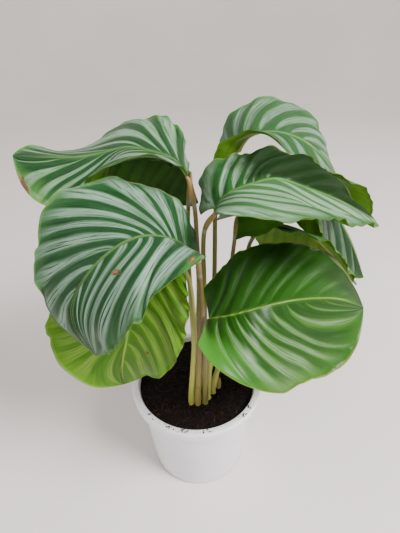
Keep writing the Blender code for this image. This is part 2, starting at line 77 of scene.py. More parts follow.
LEAVES = {
    "front_left": dict(
        midrib=[(3, -36.5, 280), (-8.5, -39.5, 293.5), (-24, -45.5, 303), (-39.5, -56.5, 307), (-56, -65, 299.5),
                (-69.5, -70.5, 286.5), (-78, -77.5, 272.5), (-79.5, -79.5, 258.5), (-76.5, -78, 244.5), (-68, -79, 230)],
        heading=[173, 192, 222, 224], width=(52.5, 51), back=(-0.03, 0.03),
        left=([45, -8, -24, -23], [0, -9, -9, -8], [0, 0, 0, 0]),
        right=([4, 10, 8, -9], [9, -2, 0, -10], [0, 0, 0, 0]),
        sweep=0.32, ripple=1.6, tip=100, color=(0.20, 0.36, 0.20),
        stalk=[(0.5, -28), (3, -29, 161), (5, -30, 199), (6, -31, 226), (5, -32, 252), (4, -33.5, 266), (3.2, -36, 276.5)]),
    "back_left": dict(
        midrib=[(-2, 19.5, 317.5), (-12, 20, 330), (-26.5, 23, 335), (-48.5, 28, 338), (-68, 26, 333.5),
                (-87.5, 20, 333), (-107, 15.5, 336), (-126, 12, 338.5)],
        heading=[188, 171, 190, 172], width=(49, 50.5), back=(-0.06, 0.04),
        left=([8, 2, -49, -63], [0, 1, -6, -1], [0, 0, 0, 0]),
        right=([9, 18, 0, 4], [6, -1, -14, -13], [0, 0, 0, 0]),
        sweep=0.43, ripple=1.2, color=(0.20, 0.38, 0.20),
        stalk=[(-3, -20.5), (1, -13, 167), (4, -4, 216), (4, 3, 249), (3.5, 8, 267), (2.5, 13, 292), (-1.3, 18, 313)]),
    "low_left": dict(
        midrib=[(-15, -15, 269), (-27, -25, 268.5), (-40, -38, 254.5), (-48, -49, 233), (-54.5, -54, 207),
                (-60.5, -53.5, 186), (-60, -51, 166)],
        heading=[206, 242, 257, 277], width=(43.5, 87), back=(0.02, 0.09),
        left=([-9, -10, -7, -4], [-10, -10, -10, -8], [0, 0, 0, 0]),
        right=([5, 1, -6, 5], [0, 0, -10, -10], [0, 0, 0, 0]),
        sweep=0.44, ripple=2.0, color=(0.25, 0.42, 0.06),
        stalk=[(-5.5, -26.5), (-1.5, -26, 177), (-1, -23, 214), (-3, -20, 243), (-7, -17.5, 255), (-13, -15.5, 265)]),
    "front_right": dict(
        midrib=[(10.5, -37.5, 223), (24, -40.5, 227.5), (37.5, -40, 231), (51.5, -37.5, 233), (74, -31.5, 233.5),
                (100.5, -21, 227), (128.5, -8, 214), (152.5, 2, 194.5)],
        heading=[-10, 4, 7, 22], width=(62.5, 75.5), back=(0.10, 0.04),
        left=([15, 17, 18, 31], [11, -1, -1, 4], [0, 0, 0, 0]),
        right=([13, -58, -56, -42], [-11, -19, -18, -16], [0, 0, 0, 0]),
        sweep=0.50, ripple=1.2, color=(0.10, 0.26, 0.06),
        stalk=[(7.2, -27.5), (8, -31, 149), (8, -33, 184), (7.5, -35, 207), (9.5, -37.3, 219.5)]),
    "mid_right": dict(
        midrib=[(17.5, -20, 307), (19, -21, 314), (27, -22.5, 322), (41, -21, 326.5), (59, -16, 328),
                (82, -11.5, 317.5), (110, -5.5, 304.5), (138.5, -4.5, 288)],
        heading=[7, 13, 6, -15], width=(47, 48.5), back=(0.18, -0.04),
        left=([14, 2, 20, -5], [4, -1, 1, 1], [0, 0, 0, 0]),
        right=([21, -16, 1, 5], [-4, -1, -2, -3], [0, 0, 0, 0]),
        sweep=0.53, ripple=1.5, color=(0.20, 0.36, 0.22),
        stalk=[(3.9, -20.5), (8, -11, 181), (8.5, -3, 232), (8, -6, 268), (9.5, -14, 290), (16, -19.3, 303.5)]),
    "top_right": dict(
        midrib=[(41, 60.5, 322.5), (49.5, 62, 333), (65.5, 63.5, 336.5), (84.5, 63, 333.5), (102, 60.5, 325),
                (120.5, 59, 307.5), (140.5, 57, 281.5), (158, 54, 251.5)],
        heading=[-5, -1, 4, 0], width=(58.5, 30), back=(0.16, 0.28),
        left=([17, 16, 6, -9], [6, 0, 2, -2], [0, 0, 0, 0]),
        right=([42, -30, 5, 60], [0, 0, 0, 0], [115, 10, 50, 0]),
        sweep=0.57, ripple=1.2, color=(0.18, 0.36, 0.18),
        stalk=[(10.5, -20.5), (14, -4, 167), (18, 16, 217), (19, 25, 246), (20, 36, 277), (24, 46, 296), (38, 60.6, 318.9)]),
    "rear_low": dict(
        midrib=[(64, 45, 261), (86, 54, 254), (115, 62, 237), (144, 66, 209), (168, 64, 177)],
        heading=[20, 18, 10, 5], width=(46, 40), back=(0.03, 0.03),
        left=([-72, -72, -66, -60], [0, 0, 0, 0], [0, 0, 0, 0]),
        right=([10, 10, 0, 0], [0, 0, 0, 0], [0, 0, 0, 0]),
        sweep=0.8, ripple=1.5, color=(0.16, 0.34, 0.10),
        stalk=[(16.0, -14.0), (28, 2, 153), (42, 20, 205), (49, 33, 238), (53, 38, 248), (62, 44, 258.5)]),
    "rear_right": dict(
        midrib=[(38, 32, 276), (64, 52, 284), (95, 70, 283), (132, 84, 261), (165, 88, 218), (190, 86, 166)],
        heading=[30, 25, 10, 5], width=(45, 36), back=(0.09, 0.12),
        left=([-20, -20, -60, -60], [0, 0, 0, 0], [0, 0, 0, 0]),
        right=([-40, -30, -72, -75], [0, 0, 0, 0], [0, 0, 0, 0]),
        sweep=0.8, ripple=1.5, color=(0.16, 0.34, 0.16),
        stalk=[(9.0, -13.0), (19, 2, 151), (29, 14, 199), (35, 26, 241), (37, 29.5, 260), (37.6, 31.5, 271)]),
    "rear_left": dict(
        midrib=[(1, 45, 310), (-15, 54, 317), (-38, 60, 321), (-62, 64, 317), (-84, 64, 308)],
        heading=[165, 162, 165, 175], width=(22, 54), back=(0.05, 0.20),
        left=([14, 14, 10, 0], [0, 0, 0, 0], [0, 0, 0, 0]),
        right=([-75, -75, -65, -60], [0, 0, 0, 0], [0, 0, 0, 0]),
        sweep=0.8, ripple=1.5, color=(0.14, 0.30, 0.08),
        stalk=[(0.3, -13.5), (-2, 4, 176), (-4, 20, 240), (-3, 34, 280), (0, 43.5, 306)]),
}
BLADES = {}


def smooth_table(values, x):
    """Smooth value of an evenly spaced table at x in 0..1."""
    v = np.asarray(values, float)
    last = len(v) - 1
    x = np.clip(x, 0, 1) * last
    i = np.minimum(x.astype(int), last - 1)
    f = x - i
    before, a, b, after = v[np.maximum(i - 1, 0)], v[i], v[i + 1], v[np.minimum(i + 2, last)]
    if v.ndim > 1:
        f = f[:, None]
    return 0.5 * (2 * a + (b - before) * f + (2 * before - 5 * a + 4 * b - after) * f**2
                  + (3 * a - before - 3 * b + after) * f**3)


def smooth_path(points):
    """A smooth line through the points, as many short steps with the share of the length at each."""
    line = smooth_table(points, np.linspace(0, 1, 401))
    for _ in range(30):
        line[1:-1] = 0.25 * line[:-2] + 0.5 * line[1:-1] + 0.25 * line[2:]
    share = np.concatenate([[0], np.cumsum(np.linalg.norm(np.diff(line, axis=0), axis=1))])
    ways = np.gradient(line, axis=0)
    ways /= np.linalg.norm(ways, axis=1)[:, None]
    return line, ways, share / share[-1], share[-1]


def along(path, x):
    """Points and directions at shares x of a path, straight on past its ends."""
    line, ways, share, length = path
    inside = np.clip(x, 0, 1)
    point = np.stack([np.interp(inside, share, line[:, k]) for k in range(3)], -1)
    way = np.stack([np.interp(inside, share, ways[:, k]) for k in range(3)], -1)
    way /= np.linalg.norm(way, axis=-1)[:, None]
    return point + way * ((x - inside) * length)[:, None], way


CALM = {"front_right": 90}  # blades with a quieter margin


def band_number(name, side, x, t):
    """Which band a point lies on: whole numbers in the middle of a dark band, and that band's half width."""
    power, bands = BANDS[name]["left" if side > 0 else "right"]
    back = LEAVES[name]["back"][0 if side > 0 else 1]
    foot = np.array([-0.02] + [b[0] for b in bands] + [1.0])
    edge = np.array([-back - 0.02] + [b[1] for b in bands] + [max(1.02, bands[-1][1] + 0.1)])
    steps = np.linspace(0, len(foot) - 1, 40 * len(foot))
    foot, edge = smooth_table(foot, steps / steps[-1]), smooth_table(edge, steps / steps[-1])
    number = np.empty_like(x)
    for value in np.unique(t):
        here = t == value
        line = np.maximum.accumulate(foot + (edge - foot) * value**power + 1e-6 * steps)
        number[here] = np.interp(x[here], line, steps)
    widths = np.array([0.30] + [b[2] for b in bands] + [0.25])
    return number, np.interp(number, np.arange(len(widths)), widths)


def half_blade(name, side, number):
    """One half on the fine grid: points, bands, steps t from midrib to margin, millimetres out and along."""
    leaf = LEAVES[name]
    path = smooth_path(leaf["midrib"])
    k = 0 if side > 0 else 1
    rows, columns = BLADE_ROWS, len(T_STEPS) - 1
    u = (np.linspace(0, 1, rows + 1)[:, None] * np.ones((1, columns + 1))).ravel()
    t = (T_STEPS[None] * np.ones((rows + 1, 1))).ravel()
    q = FIRST_VEIN + (1 - FIRST_VEIN) * u
    margin = -leaf["back"][k] + (1 + leaf["back"][k]) * (1 - np.cos(np.pi * q)) / 2
    reach = np.sin(np.pi * np.minimum(q, 1 - 1e-9)) ** 0.86 * (1 - 0.25 * np.clip((margin - 0.8) / 0.2, 0, 1) ** 2)
    start = 0.30 * u + 0.70 * u**4
    x = start + (margin - start) * (0.35 * t + 0.65 * t**1.7)
    out = leaf["width"][k] * reach * t**0.92
    foot = start + (x - start) * (leaf["sweep"] + (1 - leaf["sweep"]) * u**3)
    point, way = along(path, foot)
    heading = np.radians(smooth_table(leaf["heading"], foot))
    bend = np.radians(smooth_table(leaf["heading"], foot + 0.02) - smooth_table(leaf["heading"], foot - 0.02)) / 0.04
    across = np.stack([-np.sin(heading), np.cos(heading), 0 * heading], -1) * side
    across -= (across * way).sum(-1)[:, None] * way
    across /= np.linalg.norm(across, axis=1)[:, None]
    above = np.cross(way, across) * side
    angle, turn, curl = (np.radians(smooth_table(v, x)) for v in leaf["left" if side > 0 else "right"])
    flat, lift = np.zeros_like(out), np.zeros_like(out)
    steps = 12
    for j in range(steps):
        r = (j + 0.5) / steps * out / leaf["width"][k]
        edge = np.clip((r / np.maximum(reach, 1e-3) - 0.55) / 0.45, 0, 1)
        a = angle + turn * r + curl * edge**2
        flat += np.cos(a) * out / steps
        lift += np.sin(a) * out / steps
    on = (x - foot) * path[3] * np.clip(1 - side * bend * flat / path[3], 0.3, 1.1)
    skin = point + way * on[:, None] + across * flat[:, None] + above * lift[:, None]
    skin = skin.reshape(rows + 1, columns + 1, 3)
    for _ in range(SMOOTH_PASSES):
        skin[1:-1, 1:] = 0.25 * skin[:-2, 1:] + 0.5 * skin[1:-1, 1:] + 0.25 * skin[2:, 1:]
    last = np.clip((np.linspace(0, 1, rows + 1)[1:-1, None, None] - 0.55) / 0.15, 0, 1)
    last = last * t.reshape(rows + 1, columns + 1, 1)[1:-1, 1:] ** 2
    for _ in range(4 * leaf.get("tip", 0)):
        skin[1:-1, 1:] += last * 0.25 * (skin[:-2, 1:] - 2 * skin[1:-1, 1:] + skin[2:, 1:])
    for _ in range(CALM.get(name, 0)):
        skin[1:-1, 1:] += t.reshape(rows + 1, columns + 1, 1)[1:-1, 1:] ** 2 * 0.25 * (skin[:-2, 1:] - 2 * skin[1:-1, 1:] + skin[2:, 1:])
    # the margin's waves, uneven along it, and the shallow folds between the side veins
    shape = np.clip(reach * 1.6, 0, 1)
    phase = 1.7 * number + (0 if side > 0 else 2.6)
    wave = leaf["ripple"] * t**2.2 * np.sin(2 * np.pi * (RIPPLES * margin + 0.5 * k))
    wave += 0.55 * leaf["ripple"] * t**3.2 * np.sin(2 * np.pi * (8.6 * margin + 0.35 * np.sin(5 * margin + phase)) + phase)
    wave += 0.30 * leaf["ripple"] * t**4 * np.sin(2 * np.pi * (15.3 * margin + 0.3 * np.sin(9 * margin)) + 2.1 * phase)
    wave *= 0.45 if name in CALM else 1.0
    band, width = band_number(name, side, x, t)
    fold = 0.34 * np.cos(2 * np.pi * band) * np.clip(t / 0.12, 0, 1) * np.clip((1.02 - t) / 0.3, 0, 1)
    fold *= np.clip(1.7 - 2.4 * u, 0.12, 1) * np.clip(1.5 - 1.5 * u, 0.2, 1)
    skin += (above * ((wave + fold) * shape)[:, None]).reshape(skin.shape)
    return skin, *(a.reshape(rows + 1, -1) for a in (band, width, t, out, x))


# ============================================================================ small tools
def add_piece(name, points, faces, mats, node, uvs=None, slots=None, smooth=True):
    """A mesh piece in millimetres that rides on the body and stands for its CAD node."""
    mesh = bpy.data.meshes.new(name)
    points = np.asarray(points, float) * MM
    faces = np.asarray(faces, np.int32) if not isinstance(faces, list) else faces
    if isinstance(faces, list):
        mesh.from_pydata(points.tolist(), [], faces)
    else:
        mesh.vertices.add(len(points))
        mesh.vertices.foreach_set("co", points.astype(np.float32).ravel())
        mesh.loops.add(faces.size)
        mesh.loops.foreach_set("vertex_index", faces.ravel())
        mesh.polygons.add(len(faces))
        mesh.polygons.foreach_set("loop_start", np.arange(0, faces.size, faces.shape[1], dtype=np.int32))
        mesh.update(calc_edges=True)
    for mat in mats:
        mesh.materials.append(mat)
    if slots is not None:
        mesh.polygons.foreach_set("material_index", np.asarray(slots, np.int32))
    loop_points = np.empty(len(mesh.loops), np.int32)
    mesh.loops.foreach_get("vertex_index", loop_points)
    for layer, values in (uvs or {}).items():
        uv = mesh.uv_layers.new(name=layer)
        uv.data.foreach_set("uv", np.asarray(values, np.float32)[loop_points].ravel())
    mesh.polygons.foreach_set("use_smooth", np.full(len(mesh.polygons), smooth))
    mesh.validate()
    obj = bpy.data.objects.new(name, mesh)
    bpy.context.scene.collection.objects.link(obj)
    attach(obj, "root")
    if node:
        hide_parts(node)
    return obj


def grid_faces(rows, columns, start=0, flip=False):
    i, j = np.meshgrid(np.arange(rows - 1), np.arange(columns - 1), indexing="ij")
    a = (start + i * columns + j).ravel()
    quads = np.stack([a, a + 1, a + columns + 1, a + columns], -1)
    return quads[:, ::-1] if flip else quads


def lattice_noise(points, scale, seed):
    """Smooth noise in -1..1 at points (n, 3), from random values on a grid."""
    p = np.asarray(points, float) / scale + 100.0
    base = np.floor(p).astype(np.int64)
    f = p - base
    f = f * f * (3 - 2 * f)
    total = np.zeros(len(p))
    for dx in (0, 1):
        for dy in (0, 1):
            for dz in (0, 1):
                c = base + (dx, dy, dz)
                h = (c[:, 0] * 73856093) ^ (c[:, 1] * 19349663) ^ (c[:, 2] * 83492791) ^ (seed * 2654435761)
                h = (h ^ (h >> 13)) * 1274126177
                value = ((h ^ (h >> 16)) & 0xFFFF) / 32767.5 - 1
                wx = f[:, 0] if dx else 1 - f[:, 0]
                wy = f[:, 1] if dy else 1 - f[:, 1]
                wz = f[:, 2] if dz else 1 - f[:, 2]
                total += value * wx * wy * wz
    return total


class Graph:
    """Builds a material: short calls for the shader nodes used here."""

    def __init__(self, name):
        self.mat = bpy.data.materials.new(name)
        self.mat.use_nodes = True
        self.tree = self.mat.node_tree
        self.tree.nodes.clear()
        self.output = self.tree.nodes.new("ShaderNodeOutputMaterial")
        self.shader = self.tree.nodes.new("ShaderNodeBsdfPrincipled")
        self.tree.links.new(self.shader.outputs[0], self.output.inputs[0])

    def put(self, value, socket):
        if isinstance(value, bpy.types.NodeSocket):
            self.tree.links.new(value, socket)
        elif isinstance(value, (tuple, list)):
            socket.default_value = (*value, 1.0) if len(value) == 3 and socket.type == "RGBA" else value
        else:
            socket.default_value = value

    def set(self, **values):
        for key, value in values.items():
            self.put(value, self.shader.inputs[key.replace("_", " ")])
        return self.mat

    def math(self, op, a, b=0.0, c=0.0, clamp=False):
        node = self.tree.nodes.new("ShaderNodeMath")
        node.operation, node.use_clamp = op, clamp
        for value, socket in zip((a, b, c), node.inputs):
            self.put(value, socket)
        return node.outputs[0]

    def add(self, a, b):
        return self.math("ADD", a, b)

    def mul(self, a, b):
        return self.math("MULTIPLY", a, b)

    def step(self, x, low, high, from_value=0.0, to_value=1.0):
        """Smooth rise of x from low to high."""
        node = self.tree.nodes.new("ShaderNodeMapRange")
        node.interpolation_type = "SMOOTHSTEP"
        for value, socket in zip((x, low, high, from_value, to_value), node.inputs):
            self.put(value, socket)
        return node.outputs[0]

    def mix(self, factor, a, b, blend="MIX"):
        node = self.tree.nodes.new("ShaderNodeMix")
        node.data_type, node.blend_type, node.clamp_factor = "RGBA", blend, True
        self.put(factor, node.inputs[0])
        self.put(a, node.inputs[6])
        self.put(b, node.inputs[7])
        return node.outputs[2]

    def xyz(self, x, y=0.0, z=0.0):
        node = self.tree.nodes.new("ShaderNodeCombineXYZ")
        for value, socket in zip((x, y, z), node.inputs):
            self.put(value, socket)
        return node.outputs[0]

    def uv(self, layer):
        node = self.tree.nodes.new("ShaderNodeUVMap")
        node.uv_map = layer
        split = self.tree.nodes.new("ShaderNodeSeparateXYZ")
        self.tree.links.new(node.outputs[0], split.inputs[0])
        return split.outputs[0], split.outputs[1]

    def place(self):
        """Where the point is on the object, in metres."""
        node = self.tree.nodes.new("ShaderNodeTexCoord")
        split = self.tree.nodes.new("ShaderNodeSeparateXYZ")
        self.tree.links.new(node.outputs["Object"], split.inputs[0])
        return node.outputs["Object"], split.outputs[0], split.outputs[1], split.outputs[2]

    def noise(self, vector, scale=1.0, detail=2.0, rough=0.5, distort=0.0):
        node = self.tree.nodes.new("ShaderNodeTexNoise")
        for value, key in ((vector, "Vector"), (scale, "Scale"), (detail, "Detail"), (rough, "Roughness"), (distort, "Distortion")):
            self.put(value, node.inputs[key])
        return node.outputs[0]

    def cells(self, vector, scale, feature="F1"):
        node = self.tree.nodes.new("ShaderNodeTexVoronoi")
        node.feature = feature
        self.put(vector, node.inputs["Vector"])
        self.put(scale, node.inputs["Scale"])
        return node.outputs["Distance"], node.outputs["Color"] if feature == "F1" else None

    def bump(self, height, strength, distance, before=None):
        node = self.tree.nodes.new("ShaderNodeBump")
        self.put(height, node.inputs["Height"])
        self.put(strength, node.inputs["Strength"])
        self.put(distance, node.inputs["Distance"])
        if before is not None:
            self.put(before, node.inputs["Normal"])
        return node.outputs[0]


# ============================================================================ bands
# The dark bands on each half blade, base to tip: (share of the length where a band leaves the
# midrib, share where it meets the margin, half width as a share of the spacing). The first
# number of a side says how the bands bend on their way out.
PLAIN = (1.4, [(0.04, 0.15, 0.20), (0.12, 0.33, 0.16), (0.20, 0.50, 0.20), (0.29, 0.65, 0.15), (0.40, 0.77, 0.18),
               (0.53, 0.87, 0.16), (0.68, 0.94, 0.18), (0.84, 0.98, 0.18)])
BANDS = {
    "front_left": dict(
        right=(1.25, [(0.05, 0.06, 0.26), (0.11, 0.18, 0.16), (0.14, 0.29, 0.14), (0.17, 0.42, 0.17), (0.20, 0.55, 0.24),
                      (0.26, 0.60, 0.13), (0.30, 0.65, 0.24), (0.38, 0.75, 0.17), (0.47, 0.83, 0.24), (0.58, 0.90, 0.18),
                      (0.73, 0.96, 0.20)]),
        left=(1.6, [(0.02, 0.25, 0.22), (0.12, 0.58, 0.15), (0.22, 0.83, 0.18), (0.28, 1.10, 0.20), (0.33, 1.36, 0.13),
                    (0.43, 1.66, 0.16), (0.54, 1.90, 0.18), (0.70, 2.10, 0.20)])),
    "back_left": dict(
        right=(0.9, [(0.04, 0.20, 0.24), (0.10, 0.43, 0.18), (0.15, 0.59, 0.18), (0.21, 0.85, 0.17), (0.38, 0.93, 0.18),
                     (0.56, 0.97, 0.20), (0.78, 1.00, 0.20)]),
        left=(0.8, [(0.05, 0.40, 0.22), (0.16, 0.66, 0.17), (0.25, 0.80, 0.14), (0.33, 0.86, 0.15), (0.42, 0.88, 0.16),
                    (0.53, 0.91, 0.18), (0.63, 1.00, 0.18), (0.80, 1.06, 0.20)])),
    "low_left": dict(
        left=(2.0, [(0.10, 0.22, 0.18), (0.20, 0.41, 0.16), (0.24, 0.59, 0.18), (0.33, 0.67, 0.12), (0.41, 0.77, 0.18),
                    (0.49, 0.84, 0.18), (0.57, 0.89, 0.15), (0.68, 0.97, 0.15), (0.84, 1.00, 0.18)]),
        right=(0.8, [(0.05, 0.45, 0.18), (0.15, 0.62, 0.16), (0.25, 0.78, 0.17), (0.34, 0.87, 0.13), (0.42, 0.92, 0.17),
                     (0.52, 0.98, 0.17), (0.66, 1.19, 0.17), (0.84, 1.30, 0.18)])),
    "front_right": dict(
        left=(1.2, [(0.00, 0.06, 0.20), (0.03, 0.27, 0.20), (0.11, 0.47, 0.20), (0.20, 0.65, 0.18), (0.27, 0.75, 0.13),
                    (0.35, 0.82, 0.27), (0.50, 0.91, 0.20), (0.66, 0.97, 0.20), (0.82, 1.00, 0.20)]),
        right=(1.7, [(0.03, 0.12, 0.20), (0.07, 0.18, 0.17), (0.11, 0.34, 0.20), (0.15, 0.52, 0.13), (0.19, 0.76, 0.18),
                     (0.26, 0.92, 0.19), (0.35, 1.02, 0.20), (0.43, 1.60, 0.24), (0.56, 2.00, 0.20), (0.72, 2.30, 0.20)])),
    "mid_right": dict(
        left=(1.3, [(0.03, 0.17, 0.17), (0.11, 0.28, 0.12), (0.17, 0.41, 0.18), (0.22, 0.54, 0.12), (0.27, 0.62, 0.20),
                    (0.36, 0.74, 0.24), (0.47, 0.83, 0.22), (0.60, 0.90, 0.22), (0.76, 0.95, 0.22)]),
        right=(0.8, [(-0.09, 0.41, 0.13), (-0.02, 0.52, 0.10), (0.06, 0.58, 0.12), (0.16, 0.62, 0.09), (0.27, 0.72, 0.13),
                     (0.43, 0.76, 0.10), (0.60, 0.86, 0.12), (0.78, 0.94, 0.12)])),
    "top_right": dict(
        left=(1.2, [(-0.04, 0.10, 0.20), (0.03, 0.20, 0.19), (0.11, 0.32, 0.17), (0.18, 0.46, 0.20), (0.26, 0.58, 0.19),
                    (0.33, 0.65, 0.16), (0.42, 0.74, 0.15), (0.54, 0.83, 0.15), (0.68, 0.90, 0.16), (0.82, 0.96, 0.16)]),
        right=(0.5, [(0.06, 0.25, 0.15), (0.19, 0.37, 0.16), (0.32, 0.50, 0.15), (0.45, 0.63, 0.16), (0.60, 0.77, 0.16),
                     (0.78, 0.90, 0.16)])),
    "rear_low": dict(left=PLAIN, right=PLAIN),
    "rear_right": dict(left=PLAIN, right=PLAIN),
    "rear_left": dict(left=PLAIN, right=PLAIN),
}


# ============================================================================ leaf materials
def upper_skin(name, look):
    """Dark bands along the side veins, mid green beside them, silver between them with fine dark streaks."""
    g = Graph(name)
    b, v = g.uv("vein")
    b = g.mul(b, 20.0)
    long, out = g.uv("size")
    long = g.mul(g.add(long, -0.25), 2.0)
    wide, _ = g.uv("wide")
    s = g.add(g.mul(v, 2.0), -1.0)
    t = g.math("ABSOLUTE", s)
    seed = look["seed"]
    drift = g.add(g.noise(g.xyz(g.mul(b, 0.8), g.mul(s, 2.4), seed), 1.0, 2.0), -0.5)
    c = g.add(g.add(b, g.mul(drift, 0.22)), 100.5)
    d = g.math("ABSOLUTE", g.add(g.math("FRACT", c), -0.5))  # 0 in the middle of a dark band, 0.5 half way to the next
    streak = g.noise(g.xyz(g.mul(b, 17.0), g.mul(s, 3.2), seed), 1.0, 3.0, 0.65)
    plume = g.noise(g.xyz(g.mul(b, 5.5), g.mul(s, 1.7), seed + 4), 1.0, 2.0)
    near = g.math("POWER", 2.718, g.mul(out, -1 / look["start"]))  # the silver starts as a point beside the midrib
    width = g.add(g.mul(wide, look["dark"]), g.mul(g.add(plume, -0.5), 0.20))
    width = g.add(width, g.mul(g.add(streak, -0.5), look["ragged"]))
    width = g.add(width, g.mul(near, look["point"]))
    mid = g.step(d, g.add(width, -0.05), g.add(width, 0.05))
    silver = g.step(d, g.add(width, look["soft"] - 0.16), g.add(width, look["soft"]))
    # fine dark streaks along the veins inside the silver: one near its middle, fainter ones beside it
    line = g.noise(g.xyz(g.mul(b, 8.5), g.mul(s, 1.2), seed + 9), 1.0, 1.0, 0.4)
    line = g.step(g.math("ABSOLUTE", g.add(line, -0.5)), 0.010, 0.045, 0.8, 0.0)
    where = g.noise(g.xyz(g.mul(b, 3.1), g.mul(s, 2.2), seed + 13), 1.0, 1.0)
    line = g.mul(line, g.step(where, 0.42, 0.62))
    sway = g.add(g.noise(g.xyz(g.mul(b, 1.3), g.mul(s, 1.6), seed + 17), 1.0, 1.0), -0.5)
    fine = g.math("ABSOLUTE", g.add(g.math("FRACT", g.add(g.mul(b, 5.0), g.add(g.mul(sway, 1.6), 0.25))), -0.5))
    fade = g.noise(g.xyz(g.mul(b, 4.1), g.mul(s, 3.4), seed + 21), 1.0, 2.0)
    fine = g.mul(g.step(fine, 0.08, 0.24, 1.0, 0.0), g.step(fade, 0.36, 0.60))
    line = g.math("MAXIMUM", line, fine)
    rim = g.add(t, g.add(g.mul(g.add(streak, -0.5), 0.20), g.mul(g.add(plume, -0.5), 0.22)))
    silver = g.mul(silver, g.step(rim, look["rim"][0], look["rim"][1], 1.0, 0.0))
    cloud = g.noise(g.xyz(g.mul(b, 0.7), g.mul(s, 3.0), seed + 2), 1.0, 3.0)
    pale = g.mix(g.step(streak, 0.30, 0.72), look["silver"], look["silver_light"])
    pale = g.mix(g.step(cloud, 0.42, 0.80, 0.0, 0.35), pale, look["edge"])
    deep = g.mix(g.step(streak, 0.35, 0.70), look["deep"], look["deep_light"])
    green = g.mix(g.step(cloud, 0.3, 0.7), look["edge"], look["edge_light"])
    deep = g.mix(g.step(rim, look["rim"][0] - 0.06, look["rim"][1] + 0.05, 0.0, 0.85), deep, green)
    colour = g.mix(g.mul(mid, 0.85), deep, green)
    colour = g.mix(silver, colour, pale)
    colour = g.mix(g.mul(g.mul(silver, line), look["lines"]), colour, look["deep"])
    # small darker freckles and the lighter net between the fine veins
    freckle = g.noise(g.xyz(g.mul(b, 60.0), g.mul(s, 26.0), seed), 1.0, 2.0, 0.6)
    colour = g.mix(g.step(freckle, 0.30, 0.70, 0.16, 0.0), colour, look["deep"])
    for half, x0, x1, t0, t1, amount, *tone in look.get("lobes", ()):
        # parts of the blade without silver; the darker tone given on front_right's far half is painted shade
        mask = g.mul(g.step(g.add(long, g.mul(g.add(plume, -0.5), 0.06)), x0, x1), g.step(t, t0, t1))
        mask = g.mul(mask, g.math("GREATER_THAN" if half > 0 else "LESS_THAN", s, 0.0))
        colour = g.mix(g.mul(mask, amount), colour, tone[0] if tone else green)
    for half, x0, x1, t0, t1, amount in look.get("shades", ()):
        # painted shade: parts of the blade that lie in shade, darkened towards a near-black green
        mask = g.mul(g.step(g.add(long, g.mul(drift, 0.2)), x0, x1), g.step(g.add(t, g.mul(drift, 0.2)), t0, t1))
        mask = g.mul(mask, g.math("GREATER_THAN" if half > 0 else "LESS_THAN", s, 0.0))
        colour = g.mix(g.mul(mask, amount), colour, look["shade"])
    thin = g.mul(g.step(t, 0.970, 0.988), look["hem_share"])
    colour = g.mix(thin, colour, look["hem"])
    rib = g.step(out, 0.0050, 0.0100, 1.0, 0.0)
    colour = g.mix(g.mul(rib, g.step(long, look["rib_end"] - 0.3, look["rib_end"], 1.0, 0.15)), colour, look["rib"])
    halo = g.mul(g.step(out, 0.008, 0.034, 0.30, 0.0), g.step(long, look["rib_end"] - 0.4, look["rib_end"] - 0.1, 1.0, 0.0))
    colour = g.mix(halo, colour, look["edge_light"])
    spot_mask = None
    for n, (sx, ss, rx, rs) in enumerate(look.get("spots", ())):
        wobble = g.mul(g.add(g.noise(g.xyz(g.mul(long, 150.0), g.mul(s, 50.0), seed + n), 1.0, 2.0), -0.5), 2.2)
        far = g.math("SQRT", g.add(g.math("POWER", g.math("ABSOLUTE", g.mul(g.add(long, -sx), 1 / rx)), 2.0),
                                   g.math("POWER", g.math("ABSOLUTE", g.mul(g.add(s, -ss), 1 / rs)), 2.0)))
        far = g.add(far, wobble)
        mask = g.step(far, 0.95, 1.15, 1.0, 0.0)
        ring = g.mul(g.step(far, 1.1, 1.6, 1.0, 0.0), 0.5)
        colour = g.mix(ring, colour, (0.15, 0.13, 0.03))
        dry = g.mix(g.step(far, 0.35, 0.85), look.get("spot", (0.30, 0.17, 0.09)), (0.095, 0.045, 0.020))
        colour = g.mix(mask, colour, dry)
        spot_mask = mask if spot_mask is None else g.math("MAXIMUM", spot_mask, mask)
    rough = g.add(g.mul(silver, 0.06), look["rough"])
    rough = g.add(rough, g.mul(g.add(streak, -0.5), 0.14))
    if spot_mask is not None:
        rough = g.add(rough, g.mul(spot_mask, 0.3))
    grain = g.noise(g.xyz(g.mul(b, 52.0), g.mul(s, 90.0), seed), 1.0, 2.0, 0.6)
    normal = g.bump(streak, look["grain"], 0.0007)
    normal = g.bump(grain, 0.20, 0.0002, normal)
    normal = g.bump(g.math("COSINE", g.mul(b, 6.2832)), look["fold"], 0.0005, normal)
    normal = g.bump(rib, 0.6, 0.0006, normal)
    mat = g.set(Base_Color=colour, Roughness=rough, Normal=normal)
    g.shader.inputs["Specular IOR Level"].default_value = look["gloss"]
    g.shader.inputs["Subsurface Weight"].default_value = SUBSURFACE
    g.shader.inputs["Subsurface Radius"].default_value = (0.5, 1.0, 0.15)
    g.shader.inputs["Subsurface Scale"].default_value = 0.0012
    return mat


